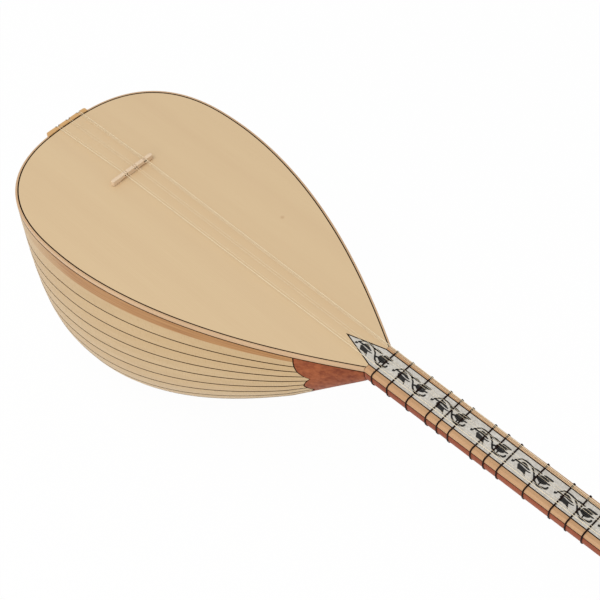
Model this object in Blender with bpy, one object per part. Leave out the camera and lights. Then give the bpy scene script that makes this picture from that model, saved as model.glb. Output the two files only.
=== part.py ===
"""Long-neck saz: a plucked lute with a ribbed bowl, tied frets and seven strings in three courses.

Units are metres, +Z is up. The origin is the middle of the nut's front edge on the fingerboard
plane. +X runs along the neck to the tail, +Z out of the soundboard, and -Y is the side of the
side pegs, which is the upper side when the instrument is played.
"""

import math

import bmesh
import bpy
import numpy as np
from mathutils import Vector

# Clearance between pieces that touch, and overshoot of the cutting tools
GAP = 0.0003
CUT = 0.004

# Scale and body; the joint stands just past the last fret, the body is placed from the bridge
SCALE_LENGTH = 0.880
LAST_FRET_TO_JOINT = 0.0087
BRIDGE_TO_WIDEST = 0.0316
BRIDGE_TO_TAIL = 0.0992
BODY_HALF_WIDTH = 0.1186
JOINT_HALF_WIDTH = 0.0174
TAIL_POWER = 2.6
FLANK_POWER = 1.82
FLANK_ROUNDNESS = 1.022

# Bowl section: depth to half width, handles of its curve, growth of the depth over the body's length
BOWL_DEPTH_RATIO = 2.0
SIDE_FULLNESS = 1.30
BACK_FULLNESS = 0.985
DEPTH_GROWTH = 0.283
RIB_THICKNESS = 0.003
BOWL_RIBS = 24
RIBS_PER_NODE = 4
SIDE_RIB_SHARE = 0.0628
RIB_END_HALF_WIDTH = 0.006

# Rim and soundboard
BAND_HEIGHT = 0.0046
BAND_WIDTH = 0.002
LEDGE_WIDTH = 0.007
SOUNDBOARD_THICKNESS = 0.003

# Blocks inside the bowl
THROAT_BLOCK_LENGTH = 0.067
TAIL_BLOCK_LENGTH = 0.024

# Heel: how quickly it swells to the bowl's section, and its scalloped edge, measured from the joint.
# Cusps are counted in ribs from the side rib.
HEEL_SWELL_POWER = 0.35
JOINT_TO_CUSP = 0.0428
JOINT_TO_SIDE_EDGE = 0.0538
HEEL_LOBE = 0.0045
HEEL_LOBE_POWER = 1.8
HEEL_SIDE_POWER = 2.4
HEEL_CUSPS = (2.5, 5.0, 7.5, 9.5, 12.0)
HEEL_REACHES = (0.0, 0.06, 0.2, 0.5, 1.0)

# Neck, fingerboard strips and inlaid plate
NUT_HALF_WIDTH = 0.0152
NECK_DEPTH_AT_NUT = 0.0245
NECK_DEPTH_AT_JOINT = 0.0262
NECK_SIDE_FULLNESS = 1.2
NECK_BACK_FULLNESS = 0.65
NECK_START_X = -0.006
NECK_FACETS = 6
STRIP_DEPTH_AT_NUT = 0.0034
STRIP_ROUNDING_AT_NUT = 0.0015
STRIP_ROUNDING_AT_JOINT = 0.0030
INLAY_HALF_WIDTH_AT_NUT = 0.0113
INLAY_HALF_WIDTH_AT_JOINT = 0.0116
JOINT_TO_INLAY_TIP = 0.0374
INLAY_THICKNESS = 0.0015

# Headstock; its section is given as shares of its half width and of its thickness
HEAD_LENGTH = 0.200
HEAD_TILT = math.radians(9)
HEAD_DROP = 0.002
HEAD_ROOT_LENGTH = 0.018
HEAD_THICKNESS = 0.0185
HEAD_END_THICKNESS = 0.0150
HEAD_END_HALF_WIDTH = 0.0125
HEAD_NOSE = 0.012
HEAD_NOSE_WIDTH_SHARE = 0.62
HEAD_NOSE_DEPTH_SHARE = 0.8
HEAD_SECTION = ((1.0, 0.0), (1.0, 0.5), (0.72, 0.88), (0.3, 1.0))

# Pegs: front ones stand on the head's face, side ones in its -Y flank
FRONT_PEGS = 4
SIDE_PEGS = 3
FIRST_PEG = 0.044
PEG_STEP = 0.038
FRONT_PEG_OFFSET = 0.0050
SIDE_PEG_DEPTH = 0.0090
PEG_RADIUS = 0.0034
PEG_TAPER = 0.02
FRONT_PEG_INNER_LENGTH = 0.0125
SIDE_PEG_INNER_LENGTH = 0.0165
PEG_EXPOSED = 0.0125
PEG_COLLAR_RADIUS = 0.0062
PEG_COLLAR_RISE = 0.0008
PEG_COLLAR_LENGTH = 0.0016
PEG_KNOB_DISTANCE = 0.004
KNOB_HALF_WIDTH = 0.0125
KNOB_HALF_THICKNESS = 0.0040
KNOB_THICKNESS_SHARE = 0.6
KNOB_LENGTH = 0.0195
KNOB_PROFILE = ((0.25, 0.55), (0.55, 1.0), (0.85, 0.92), (1.0, 0.45))
PEG_SIDES = 8

# Frets: octave ratios of the stops, nylon strand tied in two turns
FRET_RATIOS = (
    18 / 17, 12 / 11, 9 / 8, 81 / 68, 27 / 22, 81 / 64, 4 / 3, 24 / 17, 16 / 11, 3 / 2, 27 / 17,
    18 / 11, 27 / 16, 16 / 9, 32 / 17, 64 / 33, 2 / 1, 36 / 17, 24 / 11, 9 / 4, 81 / 34, 81 / 32, 8 / 3,
)
FRET_STRAND = 0.0005
FRET_TURNS = 2
WINDING_GAP = 0.00048

# Strings: courses are spread evenly, and a little towards -Y at the bridge and the holder
STRING_DIAMETER = 0.0005
PAIR_STEP = 0.0024
TRIPLE_STEP = 0.0012
NUT_COURSE_STEP = 0.0080
BRIDGE_COURSE_STEP = 0.0123
BRIDGE_COURSE_SHIFT = -0.0036
TAIL_COURSE_STEP = 0.0135
TAIL_COURSE_SHIFT = -0.0031
STRING_HEIGHT_AT_NUT = 0.0019
STRING_HEIGHT_AT_BRIDGE = 0.0056
STRING_BEND = 0.00075
BEND_ANGLES = (0, 30, 60, 86)
NUT_FALL = 0.0001
EDGE_SHARE = 0.55
PEG_TURNS = 2.5
POINTS_PER_TURN = 8
# Height on each peg at which its string arrives
STRING_ARRIVALS = (0.0068, 0.0068, 0.0044, 0.0022, 0.0026, 0.0026, 0.0026)

# Nut, bridge and string holder
NUT_LENGTH = 0.0047
NUT_HEIGHT = 0.0024
NOTCH_WIDTH = 0.0011
BRIDGE_HALF_WIDTH = 0.0258
BRIDGE_THICKNESS = 0.0040
BRIDGE_END_RADIUS = 0.0016
BRIDGE_HEIGHT = 0.0062
BRIDGE_FOOT = 0.0090
BRIDGE_ARCH = 0.0022
BRIDGE_TRAVEL = 0.002
HOLDER_HALF_WIDTH = 0.0250
HOLDER_LENGTH = 0.0024
HOLDER_TOP = 0.0012
HOLDER_DEPTH = 0.020
HOLDER_ROUNDING = 0.0020
HOLDER_CHIN_DEPTH = 0.012
HOLDER_END_LENGTH_SHARE = 0.45
SLOT_WIDTH = 0.0040
SLOT_DEPTH = 0.0014
SLOT_FLOOR = 0.009

# How finely the curved surfaces are drawn
CURVE_STEPS = 48
TAIL_STATIONS = 7
TAIL_SPREAD = 1.3
FLANK_STATIONS = 7
COLUMNS_PER_RIB = 2
SIDE_RIB_COLUMNS = 4
HOLE_SIDES = 16
NECK_STATIONS = 12
CORNER_STEPS = 3
HOLDER_COLUMNS = 4

# How a tube's gap to itself is measured: points on each stretch, and the length that is one turn's own
GAP_POINTS = 6
OWN_DIAMETERS = 6

# Sizes that follow from the ones above
JOINT_X = SCALE_LENGTH * (1 - 1 / FRET_RATIOS[-1]) + LAST_FRET_TO_JOINT
WIDEST_X = SCALE_LENGTH - BRIDGE_TO_WIDEST
TAIL_X = SCALE_LENGTH + BRIDGE_TO_TAIL
THROAT_BLOCK_END_X = JOINT_X + THROAT_BLOCK_LENGTH
HEEL_CUSP_X = JOINT_X + JOINT_TO_CUSP
HEEL_SIDE_X = JOINT_X + JOINT_TO_SIDE_EDGE
INLAY_TIP_X = JOINT_X + JOINT_TO_INLAY_TIP
RIB_SHARE = (1 - 2 * SIDE_RIB_SHARE) / BOWL_RIBS
BOWL_TOP = -(BAND_HEIGHT + GAP)
NECK_DEPTH_FACTOR = (NECK_DEPTH_AT_JOINT + BOWL_TOP) / (JOINT_HALF_WIDTH * BOWL_DEPTH_RATIO)
NECK_SHAPE = (NECK_DEPTH_FACTOR, NECK_SIDE_FULLNESS, NECK_BACK_FULLNESS)
STRING_RADIUS = STRING_DIAMETER / 2
TOUCH = GAP + STRING_RADIUS
HEAD_START_X = NECK_START_X - GAP
HOLDER_FACE_X = TAIL_X + GAP
HOLDER_END_X = HOLDER_FACE_X + HOLDER_LENGTH


def clear_scene():
    """Start from an empty scene."""
    for item in list(bpy.data.objects):
        bpy.data.objects.remove(item, do_unlink=True)


def material(name, color, roughness, metallic=0.0):
    """One Principled material per kind of stuff."""
    made = bpy.data.materials.new(name)
    made.use_nodes = True
    shader = made.node_tree.nodes["Principled BSDF"]
    shader.inputs["Base Color"].default_value = (*color, 1.0)
    shader.inputs["Roughness"].default_value = roughness
    shader.inputs["Metallic"].default_value = metallic
    return made


def add_object(name, mesh, stuff, parent=None):
    """Link a mesh as a named object with its material."""
    piece = bpy.data.objects.new(name, mesh)
    piece.data.materials.append(stuff)
    bpy.context.scene.collection.objects.link(piece)
    piece.parent = parent
    return piece


def mesh_from(name, points, faces, smooth_angle=None):
    """Closed mesh from points and faces, with its normals turned out."""
    mesh = bpy.data.meshes.new(name)
    mesh.from_pydata([tuple(p) for p in points], [], faces)
    shell = bmesh.new()
    shell.from_mesh(mesh)
    bmesh.ops.recalc_face_normals(shell, faces=shell.faces)
    shell.to_mesh(mesh)
    shell.free()
    if smooth_angle is not None:
        mesh.shade_smooth()
        mesh.set_sharp_from_angle(angle=math.radians(smooth_angle))
    return mesh


def loft(name, rings, smooth_angle=None):
    """Closed mesh through rings that have the same number of points, with flat ends."""
    count = len(rings[0])
    points = [point for ring in rings for point in ring]
    faces = [tuple(range(count))]
    for ring in range(len(rings) - 1):
        for side in range(count):
            following = (side + 1) % count
            here = ring * count
            ahead = here + count
            faces.append((here + side, here + following, ahead + following))
            faces.append((here + side, ahead + following, ahead + side))
    faces.append(tuple(range(len(points) - count, len(points))))
    return mesh_from(name, points, faces, smooth_angle)


def prism(name, outline, low, high):
    """Closed mesh of a plan outline between two heights."""
    return loft(name, [[(x, y, low) for x, y in outline], [(x, y, high) for x, y in outline]])


def boxes(name, bounds, parent=None):
    """Wire cutter made of separate boxes, each from its low and high corner."""
    points = []
    faces = []
    sides = ((0, 1, 3, 2), (4, 6, 7, 5), (0, 4, 5, 1), (2, 3, 7, 6), (0, 2, 6, 4), (1, 5, 7, 3))
    for low, high in bounds:
        start = len(points)
        points += [(x, y, z) for x in (low[0], high[0]) for y in (low[1], high[1]) for z in (low[2], high[2])]
        faces += [tuple(start + corner for corner in side) for side in sides]
    return wire_cutter(name, mesh_from(name, points, faces), parent)


def wire_cutter(name, mesh, parent=None):
    """Object that only cuts others."""
    cutter = bpy.data.objects.new(name, mesh)
    bpy.context.scene.collection.objects.link(cutter)
    cutter.parent = parent
    cutter.hide_render = True
    cutter.display_type = "WIRE"
    return cutter


def cut_away(piece, cutter):
    """Take a cutter's shape out of a piece."""
    modifier = piece.modifiers.new(cutter.name, "BOOLEAN")
    modifier.operation = "DIFFERENCE"
    modifier.solver = "EXACT"
    modifier.object = cutter


def tube(name, points, diameter, stuff):
    """Unbroken round tube along points, with flat ends."""
    curve = bpy.data.curves.new(name, "CURVE")
    curve.dimensions = "3D"
    curve.bevel_depth = diameter / 2
    curve.bevel_resolution = 1
    curve.use_fill_caps = True
    spline = curve.splines.new("POLY")
    spline.points.add(len(points) - 1)
    for target, point in zip(spline.points, points):
        target.co = (*point, 1.0)
    return add_object(name, curve, stuff)


def least_self_gap(points, diameter):
    """Smallest free distance between the turns of a tube, measured on finely spaced points."""
    path = np.array(points, float)
    steps = np.linspace(0, 1, GAP_POINTS, endpoint=False)[:, None]
    fine = np.concatenate([a + (b - a) * steps for a, b in zip(path[:-1], path[1:])])
    along = np.concatenate([[0], np.cumsum(np.linalg.norm(np.diff(fine, axis=0), axis=1))])
    apart = np.linalg.norm(fine[:, None] - fine[None], axis=2)
    far_along = np.abs(along[:, None] - along[None]) > OWN_DIAMETERS * diameter
    return apart[far_along].min() - diameter


def outline_half_width(x, inset=0.0):
    """Half width of the body in plan, set in by a wall."""
    widest = BODY_HALF_WIDTH - inset
    if x >= WIDEST_X:
        reach = min((x - WIDEST_X) / (TAIL_X - inset - WIDEST_X), 1.0)
        return widest * (1 - reach**TAIL_POWER) ** (1 / TAIL_POWER)
    reach = min((WIDEST_X - x) / (WIDEST_X - JOINT_X), 1.0)
    joint = JOINT_HALF_WIDTH - inset
    return joint + (widest - joint) * (1 - reach**FLANK_POWER) ** FLANK_ROUNDNESS


def tail_turns():
    """Angles of the stations between the tail end and the widest place."""
    first = math.asin((RIB_END_HALF_WIDTH / BODY_HALF_WIDTH) ** (TAIL_POWER / 2))
    return [
        first + (math.pi / 2 - first) * (step / TAIL_STATIONS) ** TAIL_SPREAD
        for step in range(TAIL_STATIONS + 1)
    ]


def tail_x(turn, inset=0.0):
    """Distance from the nut of a tail station."""
    return WIDEST_X + (TAIL_X - inset - WIDEST_X) * math.cos(turn) ** (2 / TAIL_POWER)


def tail_half_width(turn, inset=0.0):
    """Half width of a tail station."""
    return (BODY_HALF_WIDTH - inset) * math.sin(turn) ** (2 / TAIL_POWER)


def end_x(y, inset=0.0):
    """Distance from the nut of the tail's outline at a distance from the middle."""
    reach = abs(y) / (BODY_HALF_WIDTH - inset)
    return WIDEST_X + (TAIL_X - inset - WIDEST_X) * (1 - reach**TAIL_POWER) ** (1 / TAIL_POWER)


def flank_stations():
    """Stations from just before the widest place to the end of the throat block."""
    step = (THROAT_BLOCK_END_X - WIDEST_X) / FLANK_STATIONS
    return [WIDEST_X + step * station for station in range(1, FLANK_STATIONS + 1)]


def bowl_shape(x):
    """Depth factor and fullnesses of the section, which swell from the neck's along the heel."""
    factor = 1 + DEPTH_GROWTH * (x - WIDEST_X) / (TAIL_X - JOINT_X)
    start = JOINT_X + GAP
    reach = (x - start) / (THROAT_BLOCK_END_X - start)
    swell = min(max(reach, 0.0), 1.0) ** HEEL_SWELL_POWER
    bowl = (factor, SIDE_FULLNESS, BACK_FULLNESS)
    return [small + (large - small) * swell for small, large in zip(NECK_SHAPE, bowl)]


def section(shape, shares):
    """Unit points of a section at shares of its arc length, and that length."""
    factor, side_fullness, back_fullness = shape
    step = np.linspace(0, 1, CURVE_STEPS)
    rest = 1 - step
    side = rest**3 + 3 * rest**2 * step + 3 * rest * step**2 * back_fullness
    depth = -(3 * rest**2 * step * side_fullness + BOWL_DEPTH_RATIO * (3 * rest * step**2 + step**3))
    side = np.concatenate([side, -side[-2::-1]])
    depth = np.concatenate([depth, depth[-2::-1]])
    length = np.concatenate([[0], np.cumsum(np.hypot(np.diff(side), factor * np.diff(depth)))])
    wanted = np.asarray(shares) * length[-1]
    return np.interp(wanted, length, side), np.interp(wanted, length, depth), length[-1]


def bowl_row(x, half_width, shares, wall=0.0, place_x=None):
    """Points across the bowl at one station; wall sets them in from the outer surface."""
    shape = bowl_shape(x)
    side, depth, _ = section(shape, shares)
    wide = half_width - wall
    deep = half_width * shape[0] - wall / BOWL_DEPTH_RATIO
    places = np.full(len(side), x if place_x is None else place_x)
    return list(zip(places, wide * side, BOWL_TOP + deep * depth))


def tail_row(turn, shares, wall=0.0):
    """Points across the bowl at a tail station."""
    return bowl_row(tail_x(turn), tail_half_width(turn), shares, wall, tail_x(turn, wall))


def flank_row(x, shares, wall=0.0):
    """Points across the bowl at a flank station."""
    return bowl_row(x, outline_half_width(x), shares, wall)


def edge_row(shares, shift, wall=0.0):
    """Points across the bowl along the heel's scalloped edge."""
    row = []
    for share in shares:
        x = heel_edge_x(share) + shift
        row += bowl_row(x, outline_half_width(x), [share], wall)
    return row


def heel_edge_x(share):
    """Distance from the nut of the heel's scalloped edge at a share of the section."""
    rib = (min(share, 1 - share) - SIDE_RIB_SHARE) / RIB_SHARE
    first = HEEL_CUSPS[0]
    if rib <= first:
        done = 1 - (first - rib) / (first + SIDE_RIB_SHARE / RIB_SHARE)
        return HEEL_CUSP_X + (HEEL_SIDE_X - HEEL_CUSP_X) * (1 - done**HEEL_SIDE_POWER)
    for low, high in zip(HEEL_CUSPS[:-1], HEEL_CUSPS[1:]):
        if rib <= high:
            across = abs(2 * (rib - low) / (high - low) - 1)
            return HEEL_CUSP_X + HEEL_LOBE * (1 - across**HEEL_LOBE_POWER)
    return HEEL_CUSP_X


def heel_x(reach, share):
    """Distance from the nut between the joint, at reach 0, and the heel's edge, at reach 1."""
    start = JOINT_X + GAP
    return start + (heel_edge_x(share) - GAP / 2 - start) * reach


def heel_row(reach, shares):
    """Points across the heel at a reach from the joint to its scalloped edge."""
    row = []
    for share in shares:
        x = heel_x(reach, share)
        row += bowl_row(x, outline_half_width(x), [share])
    return row


def rib_bounds():
    """Shares at which the section is split into ribs, from the near rim to the far rim."""
    inner = [SIDE_RIB_SHARE + RIB_SHARE * count for count in range(BOWL_RIBS + 1)]
    return [0.0, *inner, 1.0]


def all_shares():
    """Shares of every column of the bowl."""
    bounds = rib_bounds()
    shares = [0.0]
    for rib, (low, high) in enumerate(zip(bounds[:-1], bounds[1:])):
        columns = SIDE_RIB_COLUMNS if rib in (0, len(bounds) - 2) else COLUMNS_PER_RIB
        shares += [low + (high - low) * (column + 1) / columns for column in range(columns)]
    return shares


def rib_shell(name, shares, stuff):
    """Thin shell between two seams, from the tail to the heel's edge."""

    def narrowed(x, half_width):
        length = section(bowl_shape(x), [0.0])[2] * half_width
        trim = GAP / 2 / length
        return [min(max(share, shares[0] + trim), shares[-1] - trim) for share in shares]

    rings = []
    for turn in tail_turns():
        kept = narrowed(tail_x(turn), tail_half_width(turn))
        rings.append(tail_row(turn, kept) + tail_row(turn, kept, RIB_THICKNESS)[::-1])
    for x in flank_stations():
        kept = narrowed(x, outline_half_width(x))
        rings.append(flank_row(x, kept) + flank_row(x, kept, RIB_THICKNESS)[::-1])
    kept = narrowed(HEEL_CUSP_X, outline_half_width(HEEL_CUSP_X))
    shift = GAP / 2
    rings.append(edge_row(kept, shift) + edge_row(kept, shift, RIB_THICKNESS)[::-1])
    add_object(name, loft_strip(name, rings, len(shares)), stuff)


def loft_strip(name, rings, width):
    """Shell from rings that hold the outer row and then the inner row backwards."""
    count = 2 * width
    points = [point for ring in rings for point in ring]
    faces = []
    for ring in range(len(rings) - 1):
        here = ring * count
        ahead = here + count
        for side in range(count):
            following = (side + 1) % count
            inner = width <= side < count - 1
            a, b = here + side, here + following
            c, d = ahead + following, ahead + side
            faces += [(a, b, d), (b, c, d)] if inner else [(a, b, c), (a, c, d)]
    for start in (0, (len(rings) - 1) * count):
        for column in range(width - 1):
            outer, inner = start + column, start + count - 1 - column
            faces.append((outer, outer + 1, inner - 1, inner))
    return mesh_from(name, points, faces, smooth_angle=40)


def build_bowl(woods):
    """Two double-width side ribs and the ribs between them, glued in groups."""
    bounds = rib_bounds()
    side = [bounds[1] * column / SIDE_RIB_COLUMNS for column in range(SIDE_RIB_COLUMNS + 1)]
    rib_shell("side_rib_near", side, woods["rib"])
    rib_shell("side_rib_far", [1 - share for share in reversed(side)], woods["rib"])
    for group in range(BOWL_RIBS // RIBS_PER_NODE):
        first = SIDE_RIB_SHARE + RIB_SHARE * group * RIBS_PER_NODE
        columns = RIBS_PER_NODE * COLUMNS_PER_RIB
        shares = [first + RIB_SHARE * column / COLUMNS_PER_RIB for column in range(columns + 1)]
        rib_shell(f"bowl_ribs_{group + 1}", shares, woods["rib"])


def build_throat_block(woods):
    """Heel outside with its scalloped edge, and a core inside that carries the ribs."""
    shares = all_shares()
    seat = RIB_THICKNESS + GAP
    rings = [heel_row(reach, shares) for reach in HEEL_REACHES]
    rings += [edge_row(shares, -GAP / 2, seat), flank_row(THROAT_BLOCK_END_X, shares, seat)]
    add_object("throat_block", loft("throat_block", rings, 40), woods["heel"])


def build_tail_block(woods):
    """Block inside the tail that carries the rib ends and the string holder."""
    shares = all_shares()
    seat = RIB_THICKNESS + GAP
    rings = [tail_row(turn, shares, seat) for turn in tail_turns()[:3]]
    front = rings[-1][0][0] - TAIL_BLOCK_LENGTH
    rings.append([(front, y, z) for _, y, z in rings[-1]])
    add_object("tail_block", loft("tail_block", rings, 40), woods["block"])


def rim_stations(inset):
    """Plan points of the rim on the near side, from the neck joint to the tail end."""
    flank = [*(heel_x(reach, 0.0) for reach in HEEL_REACHES), *reversed(flank_stations())]
    points = [(x, outline_half_width(x, inset)) for x in flank]
    turns = [*tail_turns(), 0.0]
    turns[0] = (turns[0] + turns[1]) / 2
    points += [(tail_x(turn, inset), tail_half_width(turn, inset)) for turn in sorted(turns, reverse=True)]
    return points


def build_rim_bands(woods):
    """Edge band of the body in two halves, with a ledge that carries the soundboard."""
    under_board = -(SOUNDBOARD_THICKNESS + GAP)
    corners = ((0.0, 0.0), (0.0, -BAND_HEIGHT), (LEDGE_WIDTH, -BAND_HEIGHT),
               (LEDGE_WIDTH, under_board), (BAND_WIDTH, under_board), (BAND_WIDTH, 0.0))
    walls = [rim_stations(inset) for inset, _ in corners]
    for side, name in ((1, "rim_band_near"), (-1, "rim_band_far")):
        rings = []
        for station in range(len(walls[0])):
            ring = []
            for wall, (_, z) in zip(walls, corners):
                x, y = wall[station]
                ring.append((x, side * max(y, GAP / 2), z))
            rings.append(ring)
        add_object(name, loft(name, rings, 30), woods["band"])


def inlay_outline(clearance, starts):
    """Plan of the inlaid plate, widened by a clearance, with points at the given stations."""
    slope = INLAY_HALF_WIDTH_AT_JOINT / (INLAY_TIP_X - JOINT_X)
    tip = INLAY_TIP_X + clearance * math.hypot(1, slope) / slope
    shoulder = tip - (INLAY_HALF_WIDTH_AT_JOINT + clearance) / slope
    near = [(x, inlay_half_width(x) + clearance) for x in (shoulder, *reversed(starts))]
    return [*((x, -y) for x, y in reversed(near)), (tip, 0.0), *near]


def build_soundboard(woods):
    """Thin plate inside the rim, with a pocket for the tip of the inlaid plate."""
    half = rim_stations(BAND_WIDTH + GAP)[:-1]
    tail = rim_stations(BAND_WIDTH + GAP)[-1]
    outline = [*half, tail, *[(x, -y) for x, y in reversed(half)]]
    plate = prism("soundboard", outline, -SOUNDBOARD_THICKNESS, 0.0)
    board = add_object("soundboard", plate, woods["spruce"])
    pocket = prism("inlay_pocket", inlay_outline(GAP, [JOINT_X - CUT]), -(INLAY_THICKNESS + GAP), CUT)
    cut_away(board, wire_cutter("inlay_pocket", pocket))


def neck_stations():
    """Stations along the neck, from its start under the nut to the joint."""
    step = (JOINT_X - NECK_START_X) / NECK_STATIONS
    return [NECK_START_X + step * station for station in range(NECK_STATIONS)] + [JOINT_X]


def neck_half_width(x):
    """Half width of the neck, straight from the nut to the joint."""
    return along_neck(x, NUT_HALF_WIDTH, JOINT_HALF_WIDTH)


def along_neck(x, at_nut, at_joint):
    """A size that changes straight from the nut to the joint."""
    return at_nut + (at_joint - at_nut) * x / JOINT_X


def inlay_half_width(x):
    """Half width of the inlaid plate on the neck."""
    return along_neck(x, INLAY_HALF_WIDTH_AT_NUT, INLAY_HALF_WIDTH_AT_JOINT)


def strip_chamfer(x):
    """Width of the flat that stands for the strips' rounded edge."""
    return along_neck(x, STRIP_ROUNDING_AT_NUT, STRIP_ROUNDING_AT_JOINT) * (1 - math.tan(math.pi / 8))


def strip_depth(x):
    """Depth of the strips, which at the joint is the edge band's."""
    return along_neck(x, STRIP_DEPTH_AT_NUT, BAND_HEIGHT)


def neck_back(x):
    """Points of the rounded back, from the near edge under the strip to the far edge."""
    half = neck_half_width(x)
    top = -(strip_depth(x) + GAP)
    shares = [facet / NECK_FACETS for facet in range(NECK_FACETS + 1)]
    side, down, _ = section(NECK_SHAPE, shares)
    deep = (along_neck(x, NECK_DEPTH_AT_NUT, NECK_DEPTH_AT_JOINT) + top) / BOWL_DEPTH_RATIO
    return [(half * y, top + deep * z) for y, z in zip(side, down)]


def build_neck(woods):
    """Neck with a raised tongue between the strips."""
    top = -(INLAY_THICKNESS + GAP)
    rings = []
    for x in neck_stations():
        tongue = inlay_half_width(x)
        base = -(strip_depth(x) + GAP)
        outline = [*neck_back(x), (-tongue, base), (-tongue, top), (tongue, top), (tongue, base)]
        rings.append([(x, y, z) for y, z in outline])
    add_object("neck", loft("neck", rings, 50), woods["neck"])


def build_strips(woods):
    """Light strips on both sides of the inlaid plate, rounded at their outer edge."""
    for side, name in ((1, "fingerboard_strip_near"), (-1, "fingerboard_strip_far")):
        rings = []
        for x in neck_stations():
            inner = inlay_half_width(x) + GAP
            half = neck_half_width(x)
            chamfer = strip_chamfer(x)
            bottom = -strip_depth(x)
            outline = [(inner, 0.0), (half - chamfer, 0.0), (half, -chamfer), (half, bottom), (inner, bottom)]
            rings.append([(x, side * y, z) for y, z in outline])
        add_object(name, loft(name, rings), woods["strip"])
    plate = prism("inlay_plate", inlay_outline(0.0, neck_stations()[:-1]), -INLAY_THICKNESS, 0.0)
    add_object("inlay_plate", plate, woods["pearl"])


def fret_ring(x, away):
    """Points round the neck and its strips at a distance from their surface."""
    half = neck_half_width(x)
    chamfer = strip_chamfer(x)
    top = [(-half, -chamfer), (chamfer - half, 0.0), (half - chamfer, 0.0), (half, -chamfer)]
    outline = [*top, *neck_back(x)]
    ring = []
    for index, point in enumerate(outline):
        here = Vector(point)
        before = (here - Vector(outline[index - 1])).normalized()
        after = (Vector(outline[(index + 1) % len(outline)]) - here).normalized()
        out = Vector((-(before + after).y, (before + after).x)).normalized()
        mitre = away / out.dot(Vector((-after.y, after.x)))
        ring.append(here + out * mitre)
    return ring


def build_frets(woods):
    """Tied frets: each a nylon strand wound round the neck."""
    pitch = FRET_STRAND + WINDING_GAP
    away = GAP + FRET_STRAND / 2
    gaps = []
    for number, ratio in enumerate(FRET_RATIOS, 1):
        stop = SCALE_LENGTH * (1 - 1 / ratio)
        ring = fret_ring(stop, away)
        count = len(ring)
        points = []
        for step in range(FRET_TURNS * count + 1):
            y, z = ring[(step - 1) % count]
            points.append((stop + pitch * (step / count - FRET_TURNS / 2), y, z))
        gaps.append(least_self_gap(points, FRET_STRAND))
        tube(f"fret_{number:02d}", points, FRET_STRAND, woods["fret"])
    print(f"least gap between the turns of a fret: {min(gaps) * 1000:.2f} mm")


def head_frame(along):
    """Point of the head's face at a distance from its root, its direction and its normal."""
    down = Vector((-math.cos(HEAD_TILT), 0.0, -math.sin(HEAD_TILT)))
    normal = Vector((-math.sin(HEAD_TILT), 0.0, math.cos(HEAD_TILT)))
    return Vector((HEAD_START_X, 0.0, -HEAD_DROP)) + down * along, down, normal


def head_half_width(along):
    """Half width of the head at a distance from its root."""
    return NUT_HALF_WIDTH + (HEAD_END_HALF_WIDTH - NUT_HALF_WIDTH) * along / HEAD_LENGTH


def build_head(woods):
    """Headstock with holes for the front and the side pegs."""
    rings = []
    root_depth = NECK_DEPTH_AT_NUT - HEAD_DROP
    stations = (
        (0.0, 1.0, root_depth), (HEAD_ROOT_LENGTH, 1.0, HEAD_THICKNESS),
        (HEAD_LENGTH - HEAD_NOSE, 1.0, HEAD_END_THICKNESS),
        (HEAD_LENGTH, HEAD_NOSE_WIDTH_SHARE, HEAD_END_THICKNESS * HEAD_NOSE_DEPTH_SHARE),
    )
    for along, narrowing, thick in stations:
        half = head_half_width(along) * narrowing
        top, _, _ = head_frame(along)
        outline = [(half * wide, -thick * deep) for wide, deep in HEAD_SECTION]
        mirrored = [(-y, z) for y, z in reversed(outline)]
        rings.append([(top.x, y, top.z + z) for y, z in (*outline, *mirrored)])
    head = add_object("headstock", loft("headstock", rings, 30), woods["neck"])
    for number, (place, axis, _) in enumerate(peg_places(), 1):
        length = 2 * (HEAD_THICKNESS + CUT) if number <= FRONT_PEGS else 2 * (2 * NUT_HALF_WIDTH + CUT)
        spread = 1 / math.cos(math.pi / HOLE_SIDES)
        hole = bmesh.new()
        bmesh.ops.create_cone(
            hole, cap_ends=True, segments=HOLE_SIDES, depth=length,
            radius1=(peg_radius(-length / 2) + GAP) * spread, radius2=(peg_radius(length / 2) + GAP) * spread,
        )
        mesh = bpy.data.meshes.new(f"peg_hole_{number}")
        hole.to_mesh(mesh)
        hole.free()
        cutter = wire_cutter(f"peg_hole_{number}", mesh)
        cutter.location = place
        cutter.rotation_euler = axis.to_track_quat("Z", "Y").to_euler()
        cut_away(head, cutter)


def peg_radius(height):
    """Radius of a peg's shaft at a height above the head's surface."""
    return PEG_RADIUS + PEG_TAPER * height


def peg_places():
    """Where each peg leaves the head, its outward axis and the side on which its string arrives."""
    places = []
    for number in range(FRONT_PEGS):
        along = FIRST_PEG + PEG_STEP * number
        top, _, normal = head_frame(along)
        row = 1 if number % 2 == 0 else -1
        arrival = -1 if number == 1 else 1
        places.append((top + Vector((0, row * FRONT_PEG_OFFSET, 0)), normal, Vector((0, arrival, 0))))
    for number in range(SIDE_PEGS):
        along = FIRST_PEG + PEG_STEP * (number + 0.5)
        top, _, normal = head_frame(along)
        flank = Vector((0, -head_half_width(along), 0))
        places.append((top - normal * SIDE_PEG_DEPTH + flank, Vector((0, -1, 0)), normal))
    return places


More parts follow.
